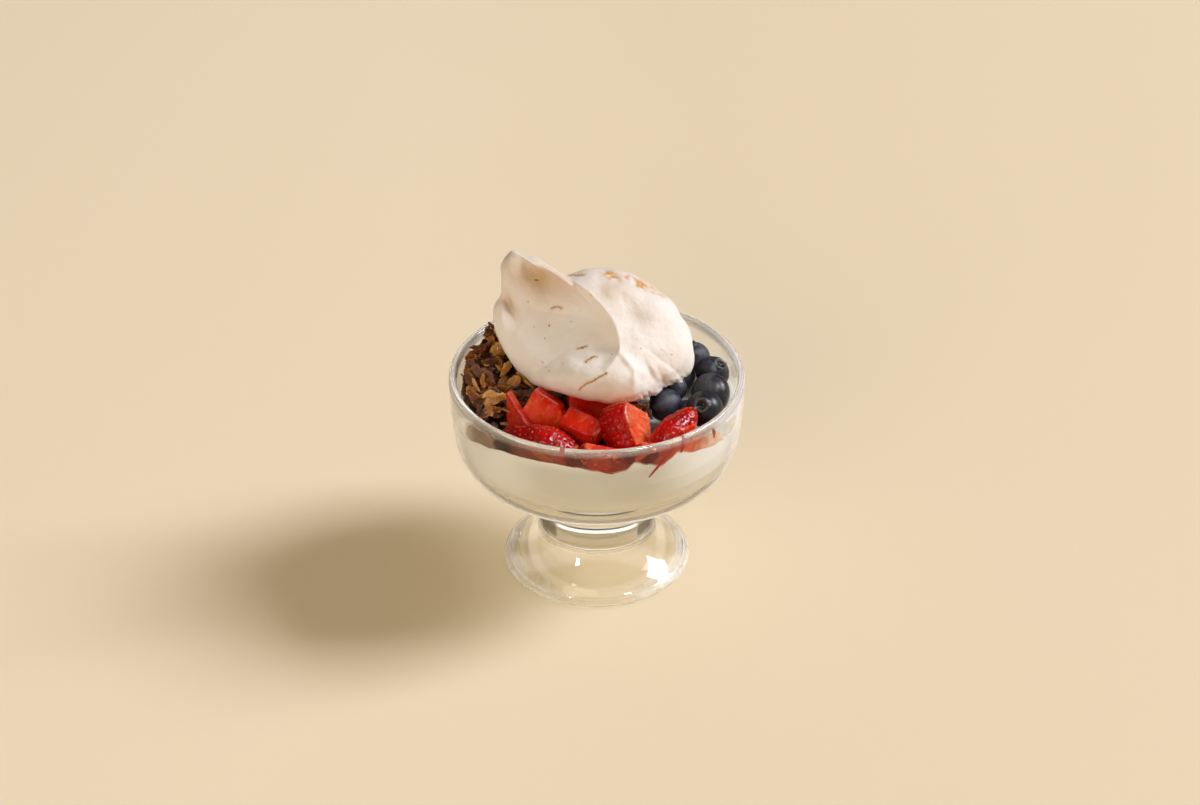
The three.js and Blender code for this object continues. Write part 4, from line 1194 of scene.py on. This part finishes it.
def creamFinish():
    f = Finish("thickCream")
    place = f.place()
    soft = f.noise(45, 3, 0.5, place)
    color = f.ramp(soft, (0.3, linear(247, 242, 236)), (0.7, linear(253, 250, 247)))
    # dark red of juice and of painted shade in the gaps between the fruit
    juice = f.math("MULTIPLY", f.attribute("juice"), f.ramp(f.noise(190, 4, 0.6, place), (0.3, 0.6), (0.6, 1.0)))
    color = f.blend(f.ramp(juice, (0.1, 0.0), (0.5, 1.0)), color, linear(104, 4, 3))
    # painted shade: duller and darker in the middle of the bowl and low down, behind the thick part of the wall, with
    # the sides left lighter
    parts = f.node("SeparateXYZ", Vector=place)
    height = f.math("MULTIPLY", parts.outputs["Z"], toRamp)
    side = f.math("MULTIPLY", f.math("ABSOLUTE", parts.outputs["X"]), toRamp)
    dullPaintedShade = f.ramp(height, (0.62, (0.86, 0.84, 0.76, 1)), (0.74, (0.73, 0.71, 0.64, 1)), (0.85, (0.72, 0.70, 0.66, 1)),
                  (0.93, 1.0), smooth=True)
    middle = f.ramp(side, (0.2, 1.0), (0.46, 0.0), smooth=True)
    color = f.blend(f.math("MULTIPLY", middle, f.attribute("wall")), color, f.blend(1.0, color, dullPaintedShade, 'MULTIPLY'))
    normal = f.bump(f.noise(220, 3, 0.5, place), 0.15, 0.0008)
    f.feed(f.surface, Base_Color=color, Roughness=0.42, Normal=normal, Subsurface_Weight=0.2, Subsurface_Scale=0.003,
           Subsurface_Radius=(1.0, 0.85, 0.7))
    return f.material


handIn(makeCream(), creamFinish(), "cream", "cream")

print("stage: berry juice")
juiceSet = {
    "from": 204, "to": 334, "steps": 300, "thickness": 0.35, "mmPerDegree": 0.86, "streakStretch": 0.85,
    # top of the film of juice on the wall, by the angle round the bowl
    "top": [(204, 66.0), (212, 74.2), (240, 76.4), (300, 76.4), (314, 75.4), (324, 73.4), (331, 67.5), (334, 66.0)],
    # pieces pressed flat behind the wall: angle, height, half widths, turn in degrees, and colour, which has their
    # shade painted in
    "pressed": [
        (229.5, 73.0, 3.6, 2.6, 10, (44, 20, 12)), (238.0, 73.6, 3.4, 1.5, -20, (128, 58, 38)),
        (248.5, 74.2, 4.2, 1.2, -12, (176, 80, 42)), (256.0, 72.8, 2.6, 1.2, -30, (146, 54, 24)),
        (262.5, 73.6, 3.4, 1.9, -15, (88, 8, 4)), (271.0, 73.6, 4.6, 2.6, 8, (160, 48, 28)),
        (279.5, 72.2, 3.4, 2.2, -8, (130, 34, 18)), (287.0, 74.6, 2.4, 1.0, 20, (216, 76, 34)),
        (291.5, 73.6, 3.6, 2.2, 30, (88, 8, 5)), (298.5, 74.6, 3.0, 1.6, 25, (136, 32, 20)),
        (311.5, 73.6, 3.2, 1.2, 12, (204, 88, 50)),
    ],
    # streaks and drips: angle and height of points along each, and the width in mm
    "streaks": [([(266, 73.2), (269.5, 71.8), (273, 70.2), (276.5, 69.2)], 1.1),
                ([(299, 73.6), (296, 70.8), (293, 68.0), (290.8, 65.6)], 1.0),
                ([(256.6, 78.0), (256.4, 76.0), (256.2, 74.2)], 1.9),
                ([(306, 77.2), (305.4, 74.8), (304.6, 72.4)], 1.6),
                ([(321.5, 75.6), (322.4, 73.6), (322.6, 71.4)], 1.3)],
}


def wallStrip(name, steps, rows, pointAt):
    clearSelection()
    bpy.ops.mesh.primitive_grid_add(x_subdivisions=steps, y_subdivisions=rows, size=2)
    strip = bpy.context.object
    strip.name = strip.data.name = name
    for vertex in strip.data.vertices:
        angle, z, out = pointAt((vertex.co.x + 1) / 2, (vertex.co.y + 1) / 2)
        r = insideRadius(z) + out
        vertex.co = Vector((r * cos(radians(angle)), r * sin(radians(angle)), z)) * mm
    # the grid's faces look outwards, so the thickness goes inwards
    useModifier(strip, 'SOLIDIFY', thickness=juiceSet["thickness"] * mm, offset=-1)
    return strip


def filmPoint(along, up):
    s = juiceSet
    angle = mix(s["from"], s["to"], along)
    jagged = 0.5 * noise.noise(Vector((angle * 0.5, 0, 0))) + 0.25 * noise.noise(Vector((angle * 1.7, 4, 0)))
    low = wallLine(angle, 69) - 0.35 + 0.3 * jagged
    high = max(alongTable(angle, s["top"]) + 1.6 * jagged, low + 0.2)
    return angle, mix(low, high, up), 0.08


def makeJuice():
    parts = [wallStrip("juiceFilm", juiceSet["steps"], 16, filmPoint)]
    for points, width in juiceSet["streaks"]:
        def streakPoint(along, up):
            place = along * (len(points) - 1)
            i = min(int(place), len(points) - 2)
            (a0, z0), (a1, z1) = points[i], points[i + 1]
            share = place - i
            angle, z = mix(a0, a1, share), mix(z0, z1, share)
            stretch = juiceSet["streakStretch"]
            acrossZ, acrossA = (a1 - a0) * stretch, -(z1 - z0)
            length = hypot(acrossZ, acrossA)
            half = width / 2 * (0.25 + 0.75 * sin(pi * clamp(0.12 + 0.8 * along))) * (up * 2 - 1)
            return angle + acrossA / length * half / stretch, z + acrossZ / length * half, 0.16
        parts.append(wallStrip("juiceStreak", 24, 3, streakPoint))
    film = joined("berryJuice", parts)
    pick(film)
    bpy.ops.object.mode_set(mode='EDIT')
    bpy.ops.mesh.select_all(action='SELECT')
    bpy.ops.mesh.normals_make_consistent(inside=False)
    bpy.ops.object.mode_set(mode='OBJECT')
    turn, streak, edge, unrolled = [], [], [], []
    for vertex in film.data.vertices:
        angle = degrees(atan2(vertex.co.y, vertex.co.x)) % 360
        turn.append((angle - juiceSet["from"]) / (juiceSet["to"] - juiceSet["from"]))
        out = hypot(vertex.co.x, vertex.co.y) / mm - insideRadius(vertex.co.z / mm)
        streak.append(1.0 if out > 0.12 or -0.23 < out < -0.15 else 0.0)
        edge.append(1 - smoothstep(vertex.co.z / mm - wallLine(angle, 69), -0.1, 0.35))
        unrolled += [(angle - 270) * juiceSet["mmPerDegree"], vertex.co.z / mm, 0]      # 270 is the front
    setValues(film, "unrolled", unrolled, 'FLOAT_VECTOR')
    setValues(film, "turn", turn)
    setValues(film, "streak", streak)
    setValues(film, "edge", edge)
    return film


def juiceFinish():
    f = Finish("berryJuiceFilm")
    place = f.place()
    clouds = f.noise(150, 4, 0.6, place, 0.8)
    # painted picture of what lies behind the wall, its light and shade included, from the oats on the left to thinned
    # juice on the right
    along = f.math("ADD", f.attribute("turn"), f.math("MULTIPLY", f.math("SUBTRACT", clouds, 0.5), 0.06))
    color = f.ramp(along, (0.0, linear(222, 206, 186)), (0.08, linear(154, 128, 104)), (0.15, linear(164, 136, 114)),
                   (0.21, linear(66, 34, 22)), (0.28, linear(128, 58, 36)), (0.38, linear(142, 60, 32)),
                   (0.43, linear(98, 12, 6)), (0.52, linear(156, 44, 24)), (0.60, linear(100, 12, 6)),
                   (0.66, linear(104, 12, 8)), (0.74, linear(184, 68, 46)), (0.82, linear(196, 86, 54)),
                   (0.89, linear(242, 190, 162)), (1.0, linear(238, 220, 204)))
    unrolled = f.attribute("unrolled", "Vector")
    shiver = f.node("TexNoise", Scale=0.9, Detail=3, Vector=unrolled).outputs["Color"]
    shiver = f.vector("MULTIPLY", f.vector("SUBTRACT", shiver, (0.5, 0.5, 0.5)), (2.2, 1.4, 0))
    unrolled = f.vector("ADD", unrolled, shiver)
    for angle, z, wide, high, lean, shade in juiceSet["pressed"]:
        spot = ((angle - 270) * juiceSet["mmPerDegree"], z, 0)
        away = f.node("Mapping", {"vector_type": 'TEXTURE'}, Vector=unrolled, Location=spot,
                      Rotation=(0, 0, radians(lean)), Scale=(wide, high, 1)).outputs["Vector"]
        away = f.node("VectorMath", {"operation": 'LENGTH'}, i0=away).outputs["Value"]
        color = f.blend(f.ramp(away, (0.75, 0.8), (1.0, 0.0)), color, linear(*shade))
    color = f.blend(1.0, color, f.ramp(clouds, (0.3, 0.66), (0.65, 1.2)), 'MULTIPLY')
    froth = f.math("MULTIPLY", f.ramp(f.noise(900, 2, 0.5, place), (0.6, 0.0), (0.66, 1.0)),
                   f.ramp(along, (0.42, 0.0), (0.46, 0.7), (0.56, 0.7), (0.6, 0.0)))
    color = f.blend(froth, color, linear(232, 112, 70))
    edge = f.math("MULTIPLY", f.attribute("edge"), f.ramp(along, (0.44, 0.0), (0.5, 0.6), (0.78, 0.6), (0.84, 0.0)))
    color = f.blend(edge, color, linear(236, 202, 184))
    color = f.blend(f.attribute("streak"), color, linear(176, 24, 16))
    f.feed(f.surface, Base_Color=color, Roughness=0.25, Subsurface_Weight=0.2, Subsurface_Scale=0.001,
           Normal=f.bump(clouds, 0.3, 0.0006), Specular_IOR_Level=0.05)
    return f.material


handIn(makeJuice(), juiceFinish(), "strawberry")

print("stage: done")
